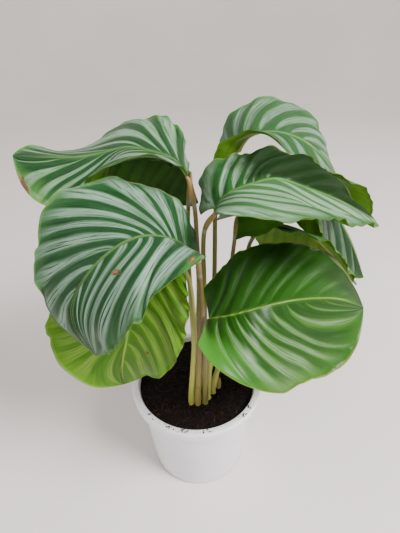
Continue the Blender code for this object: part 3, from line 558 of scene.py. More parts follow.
def under_skin(name, look):
    """The duller underside: olive to lime, with raised pale side veins."""
    g = Graph(name)
    b, v = g.uv("vein")
    b = g.mul(b, 20.0)
    long, out = g.uv("size")
    s = g.add(g.mul(v, 2.0), -1.0)
    t = g.math("ABSOLUTE", s)
    seed = look["seed"] + 20
    streak = g.noise(g.xyz(g.mul(b, 14.0), g.mul(s, 3.0), seed), 1.0, 2.0, 0.6)
    d = g.math("ABSOLUTE", g.add(g.math("FRACT", g.add(b, 100.5)), -0.5))
    cloud = g.noise(g.xyz(g.mul(b, 0.7), g.mul(s, 2.0), seed), 1.0, 3.0)
    colour = g.mix(g.step(cloud, 0.3, 0.7), look["under"], look["under_light"])
    colour = g.mix(g.step(d, 0.08, 0.26, 0.45, 0.0), colour, look["under_deep"])
    colour = g.mix(g.step(streak, 0.45, 0.85, 0.0, 0.25), colour, look["under_light"])
    # painted light: the underside is painted a brighter lime towards the tip, where light shines through it from above
    colour = g.mix(g.step(long, 0.45, 0.75, 0.0, look["under_tip"]), colour, (0.13, 0.27, 0.020))
    vein = g.step(g.math("ABSOLUTE", g.add(d, -0.5)), 0.012, 0.035, 0.5, 0.0)
    colour = g.mix(vein, colour, look["under_light"])
    rib = g.step(out, 0.012, 0.022, 1.0, 0.0)
    colour = g.mix(g.mul(rib, 0.8), colour, (0.30, 0.34, 0.10))
    thin = g.mul(g.step(t, 0.975, 0.992), 0.5)
    colour = g.mix(thin, colour, look["rib"])
    normal = g.bump(streak, 0.5, 0.0006)
    normal = g.bump(vein, 0.4, 0.0004, normal)
    mat = g.set(Base_Color=colour, Roughness=g.add(0.46, g.mul(streak, 0.12)), Normal=normal)
    g.shader.inputs["Specular IOR Level"].default_value = 0.07
    g.shader.inputs["Subsurface Weight"].default_value = SUBSURFACE
    g.shader.inputs["Subsurface Radius"].default_value = (0.5, 1.0, 0.15)
    g.shader.inputs["Subsurface Scale"].default_value = 0.0012
    return mat


SUBSURFACE = 0.25
SILVERY = dict(dark=1.0, rim=(0.80, 1.04), silver=(0.17, 0.29, 0.19), silver_light=(0.30, 0.43, 0.31),
               deep=(0.008, 0.040, 0.012), deep_light=(0.018, 0.070, 0.020), edge=(0.034, 0.120, 0.030),
               edge_light=(0.062, 0.18, 0.048), shade=(0.003, 0.016, 0.001), rib=(0.14, 0.25, 0.06), rough=0.38, gloss=0.18,
               hem=(0.20, 0.31, 0.07), hem_share=0.30, rib_end=1.0, soft=0.13, ragged=0.10, under_tip=0.0, fold=0.6, grain=0.32, start=0.090, point=0.36, lines=0.75, under=(0.036, 0.110, 0.006), under_light=(0.080, 0.20, 0.012),
               under_deep=(0.018, 0.062, 0.003))


def look_of(seed, **changes):
    return {**SILVERY, "seed": seed, **changes}


LOOKS = {
    "front_left": look_of(1.3, spots=[(0.472, 0.35, 0.012, 0.035), (0.150, 0.74, 0.022, 0.070)], spot=(0.27, 0.13, 0.07),
                          silver=(0.15, 0.26, 0.18), silver_light=(0.27, 0.39, 0.30), rib_end=0.72, point=0.20, start=0.060,
                          edge=(0.022, 0.090, 0.026), edge_light=(0.045, 0.14, 0.040), lines=0.95, gloss=0.14,
                          lobes=[(1, 0.25, 0.12, 0.50, 0.85, 0.9, (0.050, 0.19, 0.040)), (-1, 0.14, 0.05, -0.1, 0.0, 0.6)],
                          # painted shade: the near half's base is darkened where it lies in the shadowed gap between
                          # the basal lobes
                          shades=[(-1, 0.13, 0.05, -0.1, 0.0, 0.45)]),
    "back_left": look_of(2.9, silver=(0.15, 0.27, 0.16), silver_light=(0.245, 0.37, 0.255), edge=(0.048, 0.17, 0.026),
                         edge_light=(0.09, 0.24, 0.045), rib=(0.09, 0.19, 0.05), spots=[(0.945, 1.0, 0.022, 0.055)],
                         spot=(0.085, 0.045, 0.032)),
    "low_left": look_of(4.2, silver=(0.110, 0.215, 0.020), silver_light=(0.15, 0.26, 0.038), hem_share=0.5,
                        deep=(0.032, 0.105, 0.004), deep_light=(0.055, 0.145, 0.006), edge=(0.075, 0.19, 0.006),
                        edge_light=(0.12, 0.27, 0.010), rib=(0.22, 0.32, 0.05), rough=0.45, gloss=0.15, dark=1.05,
                        spots=[(0.658, 0.60, 0.009, 0.022)], spot=(0.12, 0.10, 0.03)),
    "front_right": look_of(5.7, silver=(0.095, 0.200, 0.072), silver_light=(0.17, 0.285, 0.135), deep=(0.008, 0.044, 0.003),
                           deep_light=(0.018, 0.076, 0.006), edge=(0.028, 0.110, 0.008), edge_light=(0.052, 0.155, 0.014),
                           rib=(0.14, 0.26, 0.03), rough=0.33, gloss=0.19, grain=0.14, hem=(0.27, 0.29, 0.05), hem_share=0.45, rim=(0.66, 0.98), start=0.11,
                           soft=0.20, ragged=0.04,
                           lobes=[(-1, 0.20, 0.02, 0.26, 0.60, 0.9, (0.058, 0.23, 0.022)),
                                  # painted shade: the far half takes a darker green, and its upper outer part and base
                                  # darken further, where the mid_right blade shades it
                                  (1, -0.5, -0.4, -0.2, -0.1, 0.60, (0.020, 0.085, 0.008))],
                           shades=[(1, 0.28, 0.48, 0.35, 0.80, 0.65), (1, 0.30, -0.1, -0.2, -0.1, 0.40)]),
    "mid_right": look_of(7.1, silver=(0.20, 0.35, 0.21), silver_light=(0.33, 0.47, 0.33), gloss=0.05, rough=0.50, dark=0.80,
                         deep=(0.012, 0.068, 0.014), deep_light=(0.030, 0.11, 0.026),
                         lobes=[(-1, -0.5, -0.4, -0.2, -0.1, 0.25, (0.10, 0.20, 0.09))],
                         # painted shade: the far half is darkened nearly to black-green where the top_right blade
                         # shades it, and its base towards the margin too
                         shades=[(1, 0.10, 0.32, -0.05, 0.20, 0.96), (1, 0.34, -0.1, 0.35, 0.90, 0.50)]),
    "top_right": look_of(8.4, silver=(0.125, 0.22, 0.14), silver_light=(0.20, 0.305, 0.21), deep=(0.016, 0.066, 0.018),
                         deep_light=(0.032, 0.11, 0.028), under=(0.038, 0.105, 0.004), under_light=(0.070, 0.155, 0.009),
                         # painted light: this underside is painted brighter towards its tip
                         under_deep=(0.030, 0.095, 0.003), under_tip=0.8),
    "rear_low": look_of(9.6, silver=(0.14, 0.27, 0.10), silver_light=(0.20, 0.34, 0.15), under=(0.055, 0.14, 0.003),
                        under_light=(0.10, 0.205, 0.006), under_deep=(0.032, 0.095, 0.002)),
    "rear_right": look_of(11.2, silver=(0.075, 0.14, 0.085), silver_light=(0.15, 0.225, 0.165), deep=(0.006, 0.030, 0.010), deep_light=(0.012, 0.050, 0.016),
                          lobes=[(-1, 0.50, 0.35, 0.02, 0.12, 1.0)], edge=(0.028, 0.095, 0.006), edge_light=(0.050, 0.14, 0.012),
                          under=(0.05, 0.14, 0.003), under_light=(0.09, 0.21, 0.006)),
    # painted shade: this underside's very dark colours stand for the shade it lies in, behind and beneath the back_left
    # blade
    "rear_left": look_of(12.8, under=(0.010, 0.048, 0.001), under_light=(0.025, 0.085, 0.003), under_deep=(0.006, 0.028, 0.001)),
}


# ============================================================================ leaves
BLADE_ROWS, SMOOTH_PASSES = 160, 80
T_STEPS = np.linspace(0, 1, 19) ** 1.3
RIB_RADIUS = 1.35


def blade_piece(name, number):
    left, lb, lw, lt, lo, lx = half_blade(name, 1, number)
    right, rb, rw, rt, ro, rx = half_blade(name, -1, number)
    columns = len(T_STEPS) - 1
    points, band, width, s, out, x = (np.concatenate([a[:, :0:-1], b], axis=1)
                                      for a, b in ((left, right), (lb, rb), (lw, rw), (lt, -rt), (lo, ro), (lx, rx)))
    rows, cols = points.shape[:2]
    du, dv = np.gradient(points, axis=0), np.gradient(points, axis=1)
    normal = np.cross(dv, du)
    length = np.linalg.norm(normal, axis=2, keepdims=True)
    normal = normal / np.maximum(length, 1e-9)
    normal[-1] = normal[-2]
    for _ in range(3):
        normal[1:-1] = 0.25 * normal[:-2] + 0.5 * normal[1:-1] + 0.25 * normal[2:]
    normal /= np.linalg.norm(normal, axis=2, keepdims=True)
    if (normal[rows // 4, columns] @ np.cross(points[rows // 2, columns] - points[2, columns],
                                              left[rows // 3, -1] - points[rows // 3, columns])) < 0:
        normal = -normal
    # the blade is thinner towards its margin, and the midrib stands out below as a round rib
    thick = 0.62 - 0.30 * np.abs(s) ** 2
    share = np.linspace(0, 1, rows)[:, None]
    rib_radius = RIB_RADIUS * (1 - 0.85 * share)
    rib = np.sqrt(np.clip(rib_radius**2 - out**2, 0, None)) * 1.25
    groove = -0.22 * np.exp(-(out / 1.3) ** 2) * (1 - 0.7 * share)
    top = points + normal * (thick / 2 + groove)[..., None]
    under = points - normal * (thick / 2 + rib)[..., None]
    flat = rows * cols
    upper, lower = grid_faces(rows, cols), grid_faces(rows, cols, flat, flip=True)
    border = np.concatenate([np.arange(cols)[::-1], np.arange(1, rows) * cols, (rows - 1) * cols + np.arange(1, cols),
                             (np.arange(rows - 2, 0, -1) * cols + cols - 1)])
    nxt = np.roll(border, -1)
    wall = np.stack([border, border + flat, nxt + flat, nxt], -1)
    corner = top.reshape(-1, 3)[upper]
    turned_up = (np.cross(corner[:, 1] - corner[:, 0], corner[:, 2] - corner[:, 0]) * normal.reshape(-1, 3)[upper[:, 0]]).sum(-1).mean()
    faces = np.concatenate([upper, lower, wall])
    if turned_up < 0:
        faces = faces[:, ::-1]
    skin = np.concatenate([np.zeros(len(upper)), np.ones(len(lower)), np.ones(len(wall))])
    vein = np.stack([band.ravel() / 20, 0.5 + 0.5 * s.ravel()], -1)
    size = np.stack([x.ravel() * 0.5 + 0.25, out.ravel() / 100], -1)
    wide = np.stack([width.ravel(), width.ravel()], -1)
    look = LOOKS[name]
    obj = add_piece("blade_" + name, np.concatenate([top.reshape(-1, 3), under.reshape(-1, 3)]), faces,
                    [upper_skin("blade_upper_" + name, look), under_skin("blade_under_" + name, look)],
                    "leaf_" + name, {k: np.tile(v, (2, 1)) for k, v in (("vein", vein), ("size", size), ("wide", wide))}, skin)
    # rows of points that fall on each other at the tip and base become one
    bm = bmesh.new()
    bm.from_mesh(obj.data)
    bmesh.ops.remove_doubles(bm, verts=bm.verts, dist=2e-6)
    bmesh.ops.dissolve_degenerate(bm, edges=bm.edges, dist=1e-7)
    bm.to_mesh(obj.data)
    bm.free()
    return obj, top[:, columns], normal[:, columns]


for number, (blade_name, blade_leaf) in enumerate(LEAVES.items()):
    BLADES[blade_name] = blade_piece(blade_name, number)


# ============================================================================ stalks
def stalk_skin(name, look):
    """Fibrous green to brown stalk, yellow-green at its foot, orange-brown where it swells under the blade."""
    g = Graph(name)
    around, share = g.uv("vein")
    _, height = g.uv("size")
    ripple = g.noise(g.xyz(g.mul(around, 16.0), g.mul(height, 3.0), look["seed"]), 1.0, 3.0, 0.6)
    fibre = g.noise(g.xyz(g.mul(around, 46.0), g.mul(height, 1.2), look["seed"] + 5), 1.0, 2.0, 0.6)
    blur = g.mul(g.add(g.noise(g.xyz(g.mul(around, 2.0), g.mul(height, 6.0), look["seed"] + 9), 1.0, 2.0), -0.5), 0.30)
    level = g.add(height, blur)
    colour = g.mix(g.step(level, look["low"], look["low"] + 0.45), look["foot"], look["middle"])
    colour = g.mix(g.step(level, look["low"] + 0.35, look["low"] + 1.1), colour, look["top"])
    swell = g.mul(g.step(share, 0.885, 0.925), look.get("joint_share", 1.0))
    colour = g.mix(swell, colour, look["joint"])
    colour = g.mix(g.mul(g.step(share, 0.86, 0.885), g.step(share, 0.885, 0.91, 1.0, 0.0)), colour, (0.23, 0.24, 0.14))
    colour = g.mix(g.step(fibre, 0.45, 0.85, 0.0, 0.40), colour, look["line"])
    colour = g.mix(g.step(ripple, 0.5, 0.85, 0.0, 0.35), colour, look["dull"])
    normal = g.bump(fibre, 0.5, 0.0003)
    normal = g.bump(ripple, 0.35, 0.0005, normal)
    g.set(Base_Color=colour, Roughness=g.add(0.40, g.mul(ripple, 0.16)), Normal=normal)
    g.shader.inputs["Specular IOR Level"].default_value = 0.4
    g.shader.inputs["Subsurface Weight"].default_value = 0.15
    g.shader.inputs["Subsurface Radius"].default_value = (0.8, 1.0, 0.2)
    g.shader.inputs["Subsurface Scale"].default_value = 0.0015
    return g.mat


def stalk_look(seed, **changes):
    return {**dict(seed=seed, low=0.42, foot=(0.52, 0.53, 0.13), middle=(0.36, 0.33, 0.095), top=(0.19, 0.17, 0.040),
                   joint=(0.24, 0.17, 0.06), line=(0.30, 0.30, 0.09), dull=(0.10, 0.07, 0.03)), **changes}


STALK_LOOKS = {
    "front_left": stalk_look(0.3, foot=(0.30, 0.24, 0.07), middle=(0.25, 0.16, 0.08), top=(0.13, 0.095, 0.022), low=0.30),
    "back_left": stalk_look(1.4, middle=(0.27, 0.25, 0.06), top=(0.19, 0.17, 0.040), joint=(0.34, 0.21, 0.06)),
    "low_left": stalk_look(2.2, low=0.75, foot=(0.46, 0.48, 0.095), middle=(0.33, 0.34, 0.07), top=(0.17, 0.125, 0.05)),
    "front_right": stalk_look(3.6, foot=(0.20, 0.19, 0.05), middle=(0.20, 0.19, 0.05), top=(0.16, 0.16, 0.045), low=0.2,
                              joint=(0.26, 0.22, 0.10)),
    "mid_right": stalk_look(4.5, middle=(0.20, 0.18, 0.04), top=(0.15, 0.13, 0.025)),
    "top_right": stalk_look(5.1, middle=(0.22, 0.20, 0.05), top=(0.17, 0.155, 0.035)),
    "rear_low": stalk_look(6.7, top=(0.17, 0.13, 0.05)),
    "rear_right": stalk_look(7.3, top=(0.17, 0.13, 0.05)),
    "rear_left": stalk_look(8.8),
}


def frames_along(line):
    """Directions along a line and two directions square to it that don't twist."""
    way = np.gradient(line, axis=0)
    way /= np.linalg.norm(way, axis=1)[:, None]
    side = np.zeros_like(line)
    side[0] = np.cross(way[0], (0, 1, 0))
    side[0] /= np.linalg.norm(side[0])
    for n in range(1, len(line)):
        side[n] = side[n - 1] - (side[n - 1] @ way[n]) * way[n]
        side[n] /= np.linalg.norm(side[n])
    return way, side, np.cross(way, side)


def tube(line, radii, sides, lumps=None):
    """Points and faces of a closed tube with rounded ends, with its UVs."""
    way, side, front = frames_along(line)
    rows = len(line)
    a = np.linspace(0, 2 * np.pi, sides, endpoint=False)
    ring = np.cos(a)[None, :, None] * side[:, None] + np.sin(a)[None, :, None] * front[:, None]
    r = radii[:, None] * (np.ones((rows, sides)) if lumps is None else lumps)
    points = (line[:, None] + ring * r[..., None]).reshape(-1, 3)
    faces = []
    i, j = np.meshgrid(np.arange(rows - 1), np.arange(sides), indexing="ij")
    b = (j + 1) % sides
    quads = np.stack([(i * sides + j).ravel(), (i * sides + b).ravel(), ((i + 1) * sides + b).ravel(), ((i + 1) * sides + j).ravel()], -1)
    faces = [tuple(int(v) for v in q) for q in quads]
    ends = [line[0] - way[0] * radii[0] * 0.4, line[-1] + way[-1] * radii[-1] * 0.4]
    first, last = len(points), len(points) + 1
    points = np.concatenate([points, ends])
    faces += [(first, (n + 1) % sides, n) for n in range(sides)]
    top = (rows - 1) * sides
    faces += [(last, top + n, top + (n + 1) % sides) for n in range(sides)]
    share = np.concatenate([[0], np.cumsum(np.linalg.norm(np.diff(line, axis=0), axis=1))])
    share /= share[-1]
    around = np.abs(a / np.pi - 1)
    uv = np.stack([np.tile(around, rows), np.repeat(share, sides)], -1)
    uv = np.concatenate([uv, [[0.5, 0.0], [0.5, 1.0]]])
    return points, faces, uv


def signed_volume(points, faces):
    total = 0.0
    for f in faces:
        for n in range(1, len(f) - 1):
            total += np.dot(points[f[0]], np.cross(points[f[n]], points[f[n + 1]]))
    return total


def outward(points, faces):
    return faces if signed_volume(points, faces) > 0 else [tuple(reversed(f)) for f in faces]


def stalk_piece(name, leaf, number):
    spine, up = BLADES[name][1], BLADES[name][2]
    foot = leaf["stalk"][0]
    route = [(foot[0], foot[1], CROWN_TOP - 3), (foot[0], foot[1], CROWN_TOP + 14)] + [tuple(p) for p in leaf["stalk"][1:]]
    route += [tuple(spine[1] - up[1] * 1.7), tuple(spine[9] - up[9] * 1.25)]
    path = smooth_path(np.array(route, float))
    rows, sides = 84, 20
    s = np.linspace(0, 1, rows)
    line, way = along(path, s)
    radii = STALK_TOP_RADIUS + (STALK_FOOT_RADIUS - STALK_TOP_RADIUS) * (1 - s) ** 1.3
    joint = np.exp(-((s - 0.925) / 0.028) ** 2)
    radii = radii + 0.45 * joint
    radii *= 1 - 0.55 * np.clip((s - 0.955) / 0.045, 0, 1) ** 1.5
    a = np.linspace(0, 2 * np.pi, sides, endpoint=False)
    lumps = 1 + 0.035 * np.sin(3 * a + number)[None] + 0.05 * (1 - s)[:, None] ** 2 * np.cos(2 * a + 0.6 * number)[None]
    points, faces, uv = tube(line, radii, sides, lumps)
    height = (points[:, 2] - SOIL_LEVEL) / 100
    size = np.stack([uv[:, 1], height], -1)
    pieces = [(points, faces, uv, size)]
    # the leaf sheath: a thin open wrap round the stalk's foot that ends in an oblique, slightly flaring edge
    length = (26 + 9 * math.sin(2.3 * number + 1)) / path[3]
    rows = 22
    s = np.linspace(0.0, 1.0, rows)
    centre, way = along(path, 0.0 + s * length)
    _, side, front = frames_along(centre)
    a = np.linspace(0, 2 * np.pi, 26, endpoint=False)
    reach = 0.62 + 0.38 * np.cos(a - 1.2 - 1.1 * number)
    inner, outer = [], []
    for n in range(rows):
        at = s[n] * length * reach
        c, w = along(path, at)
        r = STALK_TOP_RADIUS + (STALK_FOOT_RADIUS - STALK_TOP_RADIUS) * (1 - at) ** 1.3
        flare = 0.22 + 0.16 * s[n] ** 4 + 0.10 * np.sin(5 * a + number) * s[n] ** 3
        unit = np.cos(a)[:, None] * side[n] + np.sin(a)[:, None] * front[n]
        outer.append(c + unit * (r * 1.045 + flare)[:, None])
        inner.append(c + unit * (r * 1.045 + flare - 0.20)[:, None])
    outer, inner = np.array(outer), np.array(inner)
    count = len(a)
    wrap = []
    base = rows * count
    for n in range(rows - 1):
        for k in range(count):
            b = (k + 1) % count
            wrap.append((n * count + k, n * count + b, (n + 1) * count + b, (n + 1) * count + k))
            wrap.append((base + n * count + k, base + (n + 1) * count + k, base + (n + 1) * count + b, base + n * count + b))
    for k in range(count):
        b = (k + 1) % count
        top = (rows - 1) * count
        wrap.append((top + k, top + b, base + top + b, base + top + k))
        wrap.append((k, base + k, base + b, b))
    points = np.concatenate([outer.reshape(-1, 3), inner.reshape(-1, 3)])
    uv = np.stack([np.tile(np.abs(a / np.pi - 1) + 1.3, rows * 2), np.tile(np.repeat(s * length, count), 2)], -1)
    size = np.stack([uv[:, 1], (points[:, 2] - SOIL_LEVEL) / 100 - 0.15], -1)
    pieces.append((points, wrap, uv, size))
    all_points, all_faces, all_uv, all_size, start = [], [], [], [], 0
    for points, faces, uv, size in pieces:
        all_points.append(points)
        all_faces += [tuple(v + start for v in f) for f in outward(points, faces)]
        all_uv.append(uv)
        all_size.append(size)
        start += len(points)
    add_piece("stem_" + name, np.concatenate(all_points), all_faces, [stalk_skin("stem_skin_" + name, STALK_LOOKS[name])],
              "stalk_" + name, {"vein": np.concatenate(all_uv), "size": np.concatenate(all_size)})


for number, (stem_name, stem_leaf) in enumerate(LEAVES.items()):
    stalk_piece(stem_name, stem_leaf, number)


# ============================================================================ pot
def pot_skin():
    """White, slightly lilac moulded plastic: satin, with faint mould lines, fine scuffs and dust near the soil."""
    g = Graph("pot_plastic")
    place, x, y, z = g.place()
    broad = g.noise(place, 22.0, 3.0)
    fine = g.noise(place, 900.0, 2.0, 0.6)
    scuff = g.noise(g.xyz(g.mul(x, 320.0), g.mul(y, 320.0), g.mul(z, 60.0)), 1.0, 3.0, 0.7)
    dust = g.noise(place, 160.0, 4.0, 0.65)
    colour = g.mix(g.step(broad, 0.3, 0.7), (0.74, 0.72, 0.79), (0.80, 0.785, 0.84))
    # darker and warmer towards the bottom
    colour = g.mix(g.step(z, 0.020, 0.090, 0.20, 0.0), colour, (0.66, 0.60, 0.60))
    colour = g.mix(g.step(scuff, 0.60, 0.80, 0.0, 0.22), colour, (0.58, 0.545, 0.56))
    # the collar and lip a lighter, whiter tone than the body
    lip = g.step(z, 0.0975, 0.1085)
    colour = g.mix(g.mul(lip, 0.8), colour, (0.86, 0.855, 0.87))
    colour = g.mix(g.mul(g.step(dust, 0.56, 0.78, 0.0, 0.5), lip), colour, (0.36, 0.29, 0.24))
    # darker still along the lowest two millimetres of the foot
    foot = g.step(z, 0.0006, 0.0022, 1.0, 0.0)
    colour = g.mix(g.mul(foot, 0.75), colour, (0.18, 0.14, 0.13))
    rings = g.math("SINE", g.mul(z, 2600.0))
    normal = g.bump(fine, 0.16, 0.0002)
    normal = g.bump(scuff, 0.10, 0.0004, normal)
    normal = g.bump(rings, 0.04, 0.0002, normal)
    g.set(Base_Color=colour, Roughness=g.add(0.34, g.mul(scuff, 0.22)), Normal=normal)
    g.shader.inputs["Specular IOR Level"].default_value = 0.5
    g.shader.inputs["Subsurface Weight"].default_value = 0.10
    g.shader.inputs["Subsurface Radius"].default_value = (1.0, 0.9, 0.9)
    g.shader.inputs["Subsurface Scale"].default_value = 0.002
    return g.mat


def rounded(profile, arc=0.8, steps=4):
    """A profile with its corners rounded by short arcs."""
    pts = np.array(profile, float)
    result = [pts[0]]
    for n in range(1, len(pts) - 1):
        a, b, c = pts[n - 1], pts[n], pts[n + 1]
        back, on = a - b, c - b
        room = min(arc, 0.42 * np.linalg.norm(back), 0.42 * np.linalg.norm(on))
        p, q = b + back / np.linalg.norm(back) * room, b + on / np.linalg.norm(on) * room
        for k in range(steps + 1):
            f = k / steps
            result.append((1 - f) ** 2 * p + 2 * f * (1 - f) * b + f**2 * q)
    result.append(pts[-1])
    return np.array(result)


def fine_steps(profile, longest):
    result = [profile[0]]
    for a, b in zip(profile[:-1], profile[1:]):
        count = max(1, int(np.ceil(np.linalg.norm(b - a) / longest)))
        for k in range(1, count + 1):
            result.append(a + (b - a) * k / count)
    return np.array(result)


def turned_solid(profile, sides):
    """A closed turned body from a profile that starts and ends on the axis."""
    inner = profile[1:-1]
    a = np.linspace(0, 2 * np.pi, sides, endpoint=False)
    ring = np.stack([np.cos(a), np.sin(a)], -1)
    points = np.array([[*(ring[k] * r), z] for r, z in inner for k in range(sides)])
    faces = [(i * sides + j, i * sides + (j + 1) % sides, (i + 1) * sides + (j + 1) % sides, (i + 1) * sides + j)
             for i in range(len(inner) - 1) for j in range(sides)]
    points = np.concatenate([points, [[0, 0, profile[0][1]], [0, 0, profile[-1][1]]]])
    low, high = len(points) - 2, len(points) - 1
    faces += [(low, (j + 1) % sides, j) for j in range(sides)]
    top = (len(inner) - 1) * sides
    faces += [(high, top + j, top + (j + 1) % sides) for j in range(sides)]
    return points, outward(points, faces)


bt = POT_HEIGHT - SKIRT_DEPTH
POT_PROFILE = [(0, 0), (BASE_RADIUS - 1.5, 0), (BASE_RADIUS, 1.2), (52.4, 36), (57.6, bt + 3.2), (60.4, bt + 7.8), (62.0, bt + 7.4),
               (62.4, bt), (63.9, bt), (RIM_RADIUS, 109.4), (64.1, 110.7), (62.4, 111), (59.6, 111), (58.5, 110.5),
               (58.2, 109.5), (56.4, 100), (48, FLOOR_THICK), (0, FLOOR_THICK)]

pot_points, pot_faces = turned_solid(fine_steps(rounded(POT_PROFILE), 4.0), 144)
pot_body = add_piece("nursery_pot", pot_points, pot_faces, [pot_skin()], "pot")
# the drain holes go right through the floor
bm = bmesh.new()
for n in range(HOLES + 1):
    angle = 2 * math.pi * n / HOLES
    at = (HOLE_CIRCLE * math.cos(angle) * MM, HOLE_CIRCLE * math.sin(angle) * MM, 0) if n < HOLES else (0, 0, 0)
    bmesh.ops.create_cone(bm, cap_ends=True, segments=28, radius1=HOLE_RADIUS * MM, radius2=HOLE_RADIUS * MM, depth=0.012,
                          matrix=Matrix.Translation(at))
cutter_mesh = bpy.data.meshes.new("drain_cutter")
bm.to_mesh(cutter_mesh)
bm.free()
cutter = bpy.data.objects.new("drain_cutter", cutter_mesh)
bpy.context.scene.collection.objects.link(cutter)
cut = pot_body.modifiers.new("holes", "BOOLEAN")
cut.operation, cut.solver, cut.object = "DIFFERENCE", "EXACT", cutter
depsgraph = bpy.context.evaluated_depsgraph_get()
holed = bpy.data.meshes.new_from_object(pot_body.evaluated_get(depsgraph))
pot_body.modifiers.clear()
pot_body.data = holed
bpy.data.objects.remove(cutter)


# ============================================================================ soil
def soil_skin(name, wet):
    """Dark peaty mix: near-black with brown and reddish fibres and small pale specks."""
    g = Graph(name)
    place, x, y, z = g.place()
    clump = g.noise(place, 260.0, 4.0, 0.65)
    grit = g.noise(place, 1500.0, 3.0, 0.7)
    far, tint = g.cells(place, 620.0)
    far2, _ = g.cells(place, 1700.0)
    fibre = g.noise(g.xyz(g.mul(x, 2400.0), g.mul(y, 420.0), g.mul(z, 900.0)), 1.0, 3.0, 0.7)
    colour = g.mix(g.step(clump, 0.35, 0.75), (0.0040, 0.0018, 0.0018), (0.013, 0.0055, 0.0040))
    colour = g.mix(g.step(fibre, 0.60, 0.82, 0.0, 0.7), colour, (0.048, 0.015, 0.009))
    colour = g.mix(g.step(grit, 0.62, 0.85, 0.0, 0.45), colour, (0.055, 0.026, 0.017))
    colour = g.mix(g.step(far2, 0.10, 0.02, 0.0, 0.25), colour, (0.16, 0.10, 0.07))
    normal = g.bump(clump, 0.8, 0.0012)
    normal = g.bump(grit, 0.8, 0.0006, normal)
    g.set(Base_Color=colour, Roughness=g.add(wet, g.mul(grit, 0.2)), Normal=normal)
    g.shader.inputs["Specular IOR Level"].default_value = 0.22
    return g.mat


FEET = np.array([leaf["stalk"][0] for leaf in LEAVES.values()], float)


def soil_height(x, y):
    p = np.stack([x, y, 0 * x], -1)
    z = 105.0 + 1.0 * lattice_noise(p, 17.0, 1) + 0.75 * lattice_noise(p, 7.0, 2)
    z = z + 0.55 * lattice_noise(p, 3.1, 3) + 0.38 * lattice_noise(p, 1.5, 4)
    near = np.min([np.hypot(x - fx, y - fy) for fx, fy in FEET], axis=0)
    z = z + 1.6 * np.exp(-(near / 9.0) ** 2)
    r = np.hypot(x, y)
    z = z + 0.6 * np.clip((r - 48) / 8, 0, 1)
    centre = np.hypot(x - CROWN_X, y - CROWN_Y)
    low = 104.2 * (centre < 17.5) + 102.0 * (centre >= 17.5)
    return np.maximum(z, low)


soil_radius = 57.0
rings, sectors = 122, 330
r = np.linspace(0, 1, rings)[1:, None] ** 0.85 * soil_radius
a = np.linspace(0, 2 * np.pi, sectors, endpoint=False)[None]
sx, sy = (r * np.cos(a)).ravel(), (r * np.sin(a)).ravel()
top = np.stack([sx, sy, soil_height(sx, sy)], -1)
skirt_r, skirt_z = [], []
levels = [100.0, 70.0, 35.0, 3.0]
walls = []
for z in levels:
    wall_r = np.interp(z, [2, 100, 109.5], [48, 56.4, 58.2]) - 0.3
    walls.append(np.stack([wall_r * np.cos(a[0]), wall_r * np.sin(a[0]), np.full(sectors, z)], -1))
soil_points = np.concatenate([top] + walls + [[[0, 0, float(soil_height(np.zeros(1), np.zeros(1))[0])], [0, 0, 3.0]]])
total_rings = rings - 1 + len(levels)
i, j = np.meshgrid(np.arange(total_rings - 1), np.arange(sectors), indexing="ij")
b = (j + 1) % sectors
quads = np.stack([(i * sectors + j).ravel(), ((i + 1) * sectors + j).ravel(), ((i + 1) * sectors + b).ravel(), (i * sectors + b).ravel()], -1)
soil_faces = [tuple(int(v) for v in q) for q in quads]
peak, bottom = len(soil_points) - 2, len(soil_points) - 1
soil_faces += [(peak, n, (n + 1) % sectors) for n in range(sectors)]
last_ring = (total_rings - 1) * sectors
soil_faces += [(bottom, last_ring + (n + 1) % sectors, last_ring + n) for n in range(sectors)]
add_piece("potting_mix", soil_points, outward(soil_points, soil_faces), [soil_skin("mix_skin", 0.78)], "soil")


def lump(size, stretch, seed, turn):
    """One crumb: a small ball of uneven shape."""
    bm = bmesh.new()
    bmesh.ops.create_icosphere(bm, subdivisions=1, radius=1.0)
    p = np.array([v.co[:] for v in bm.verts])
    faces = [tuple(v.index for v in f.verts) for f in bm.faces]
    bm.free()
    p = p * (1 + 0.38 * lattice_noise(p + seed * 3.7, 0.8, 11))[:, None]
    p = p * np.array([stretch, 1.0, 0.75]) * size
    return p @ turn.T, faces


def random_turn(flat=0.5):
    yaw, tilt, roll = rng.uniform(0, 2 * np.pi), rng.normal(0, flat), rng.normal(0, flat)
    return np.array(Matrix.Rotation(yaw, 3, "Z") @ Matrix.Rotation(tilt, 3, "Y") @ Matrix.Rotation(roll, 3, "X"))


def crumbs(name, spots, sizes, stretches, mat, node):
    points, faces, start = [], [], 0
    for n, (x, y, z) in enumerate(spots):
        p, f = lump(sizes[n], stretches[n], n * 0.77, random_turn())
        points.append(p + (x, y, z))
        faces += [tuple(v + start for v in q) for q in f]
        start += len(p)
    return add_piece(name, np.concatenate(points), faces, [mat], node, smooth=False)


def scattered(count, radius):
    spots = []
    while len(spots) < count:
        x, y = rng.uniform(-radius, radius, 2)
        if np.hypot(x, y) > radius or np.min(np.hypot(FEET[:, 0] - x, FEET[:, 1] - y)) < 4.2:
            continue
        spots.append((x, y))
    return np.array(spots)


at = scattered(1500, 56.3)
size = np.clip(rng.lognormal(-0.30, 0.42, len(at)), 0.35, 2.0)
spots = [(x, y, z + 0.25 * s) for (x, y), z, s in zip(at, soil_height(at[:, 0], at[:, 1]), size)]
crumbs("mix_crumbs", spots, size, 1 + rng.exponential(0.35, len(at)), soil_skin("crumb_skin", 0.70), "soil")

at = scattered(160, 54.5)
spots = [(x, y, z + 0.45) for (x, y), z in zip(at, soil_height(at[:, 0], at[:, 1]))]


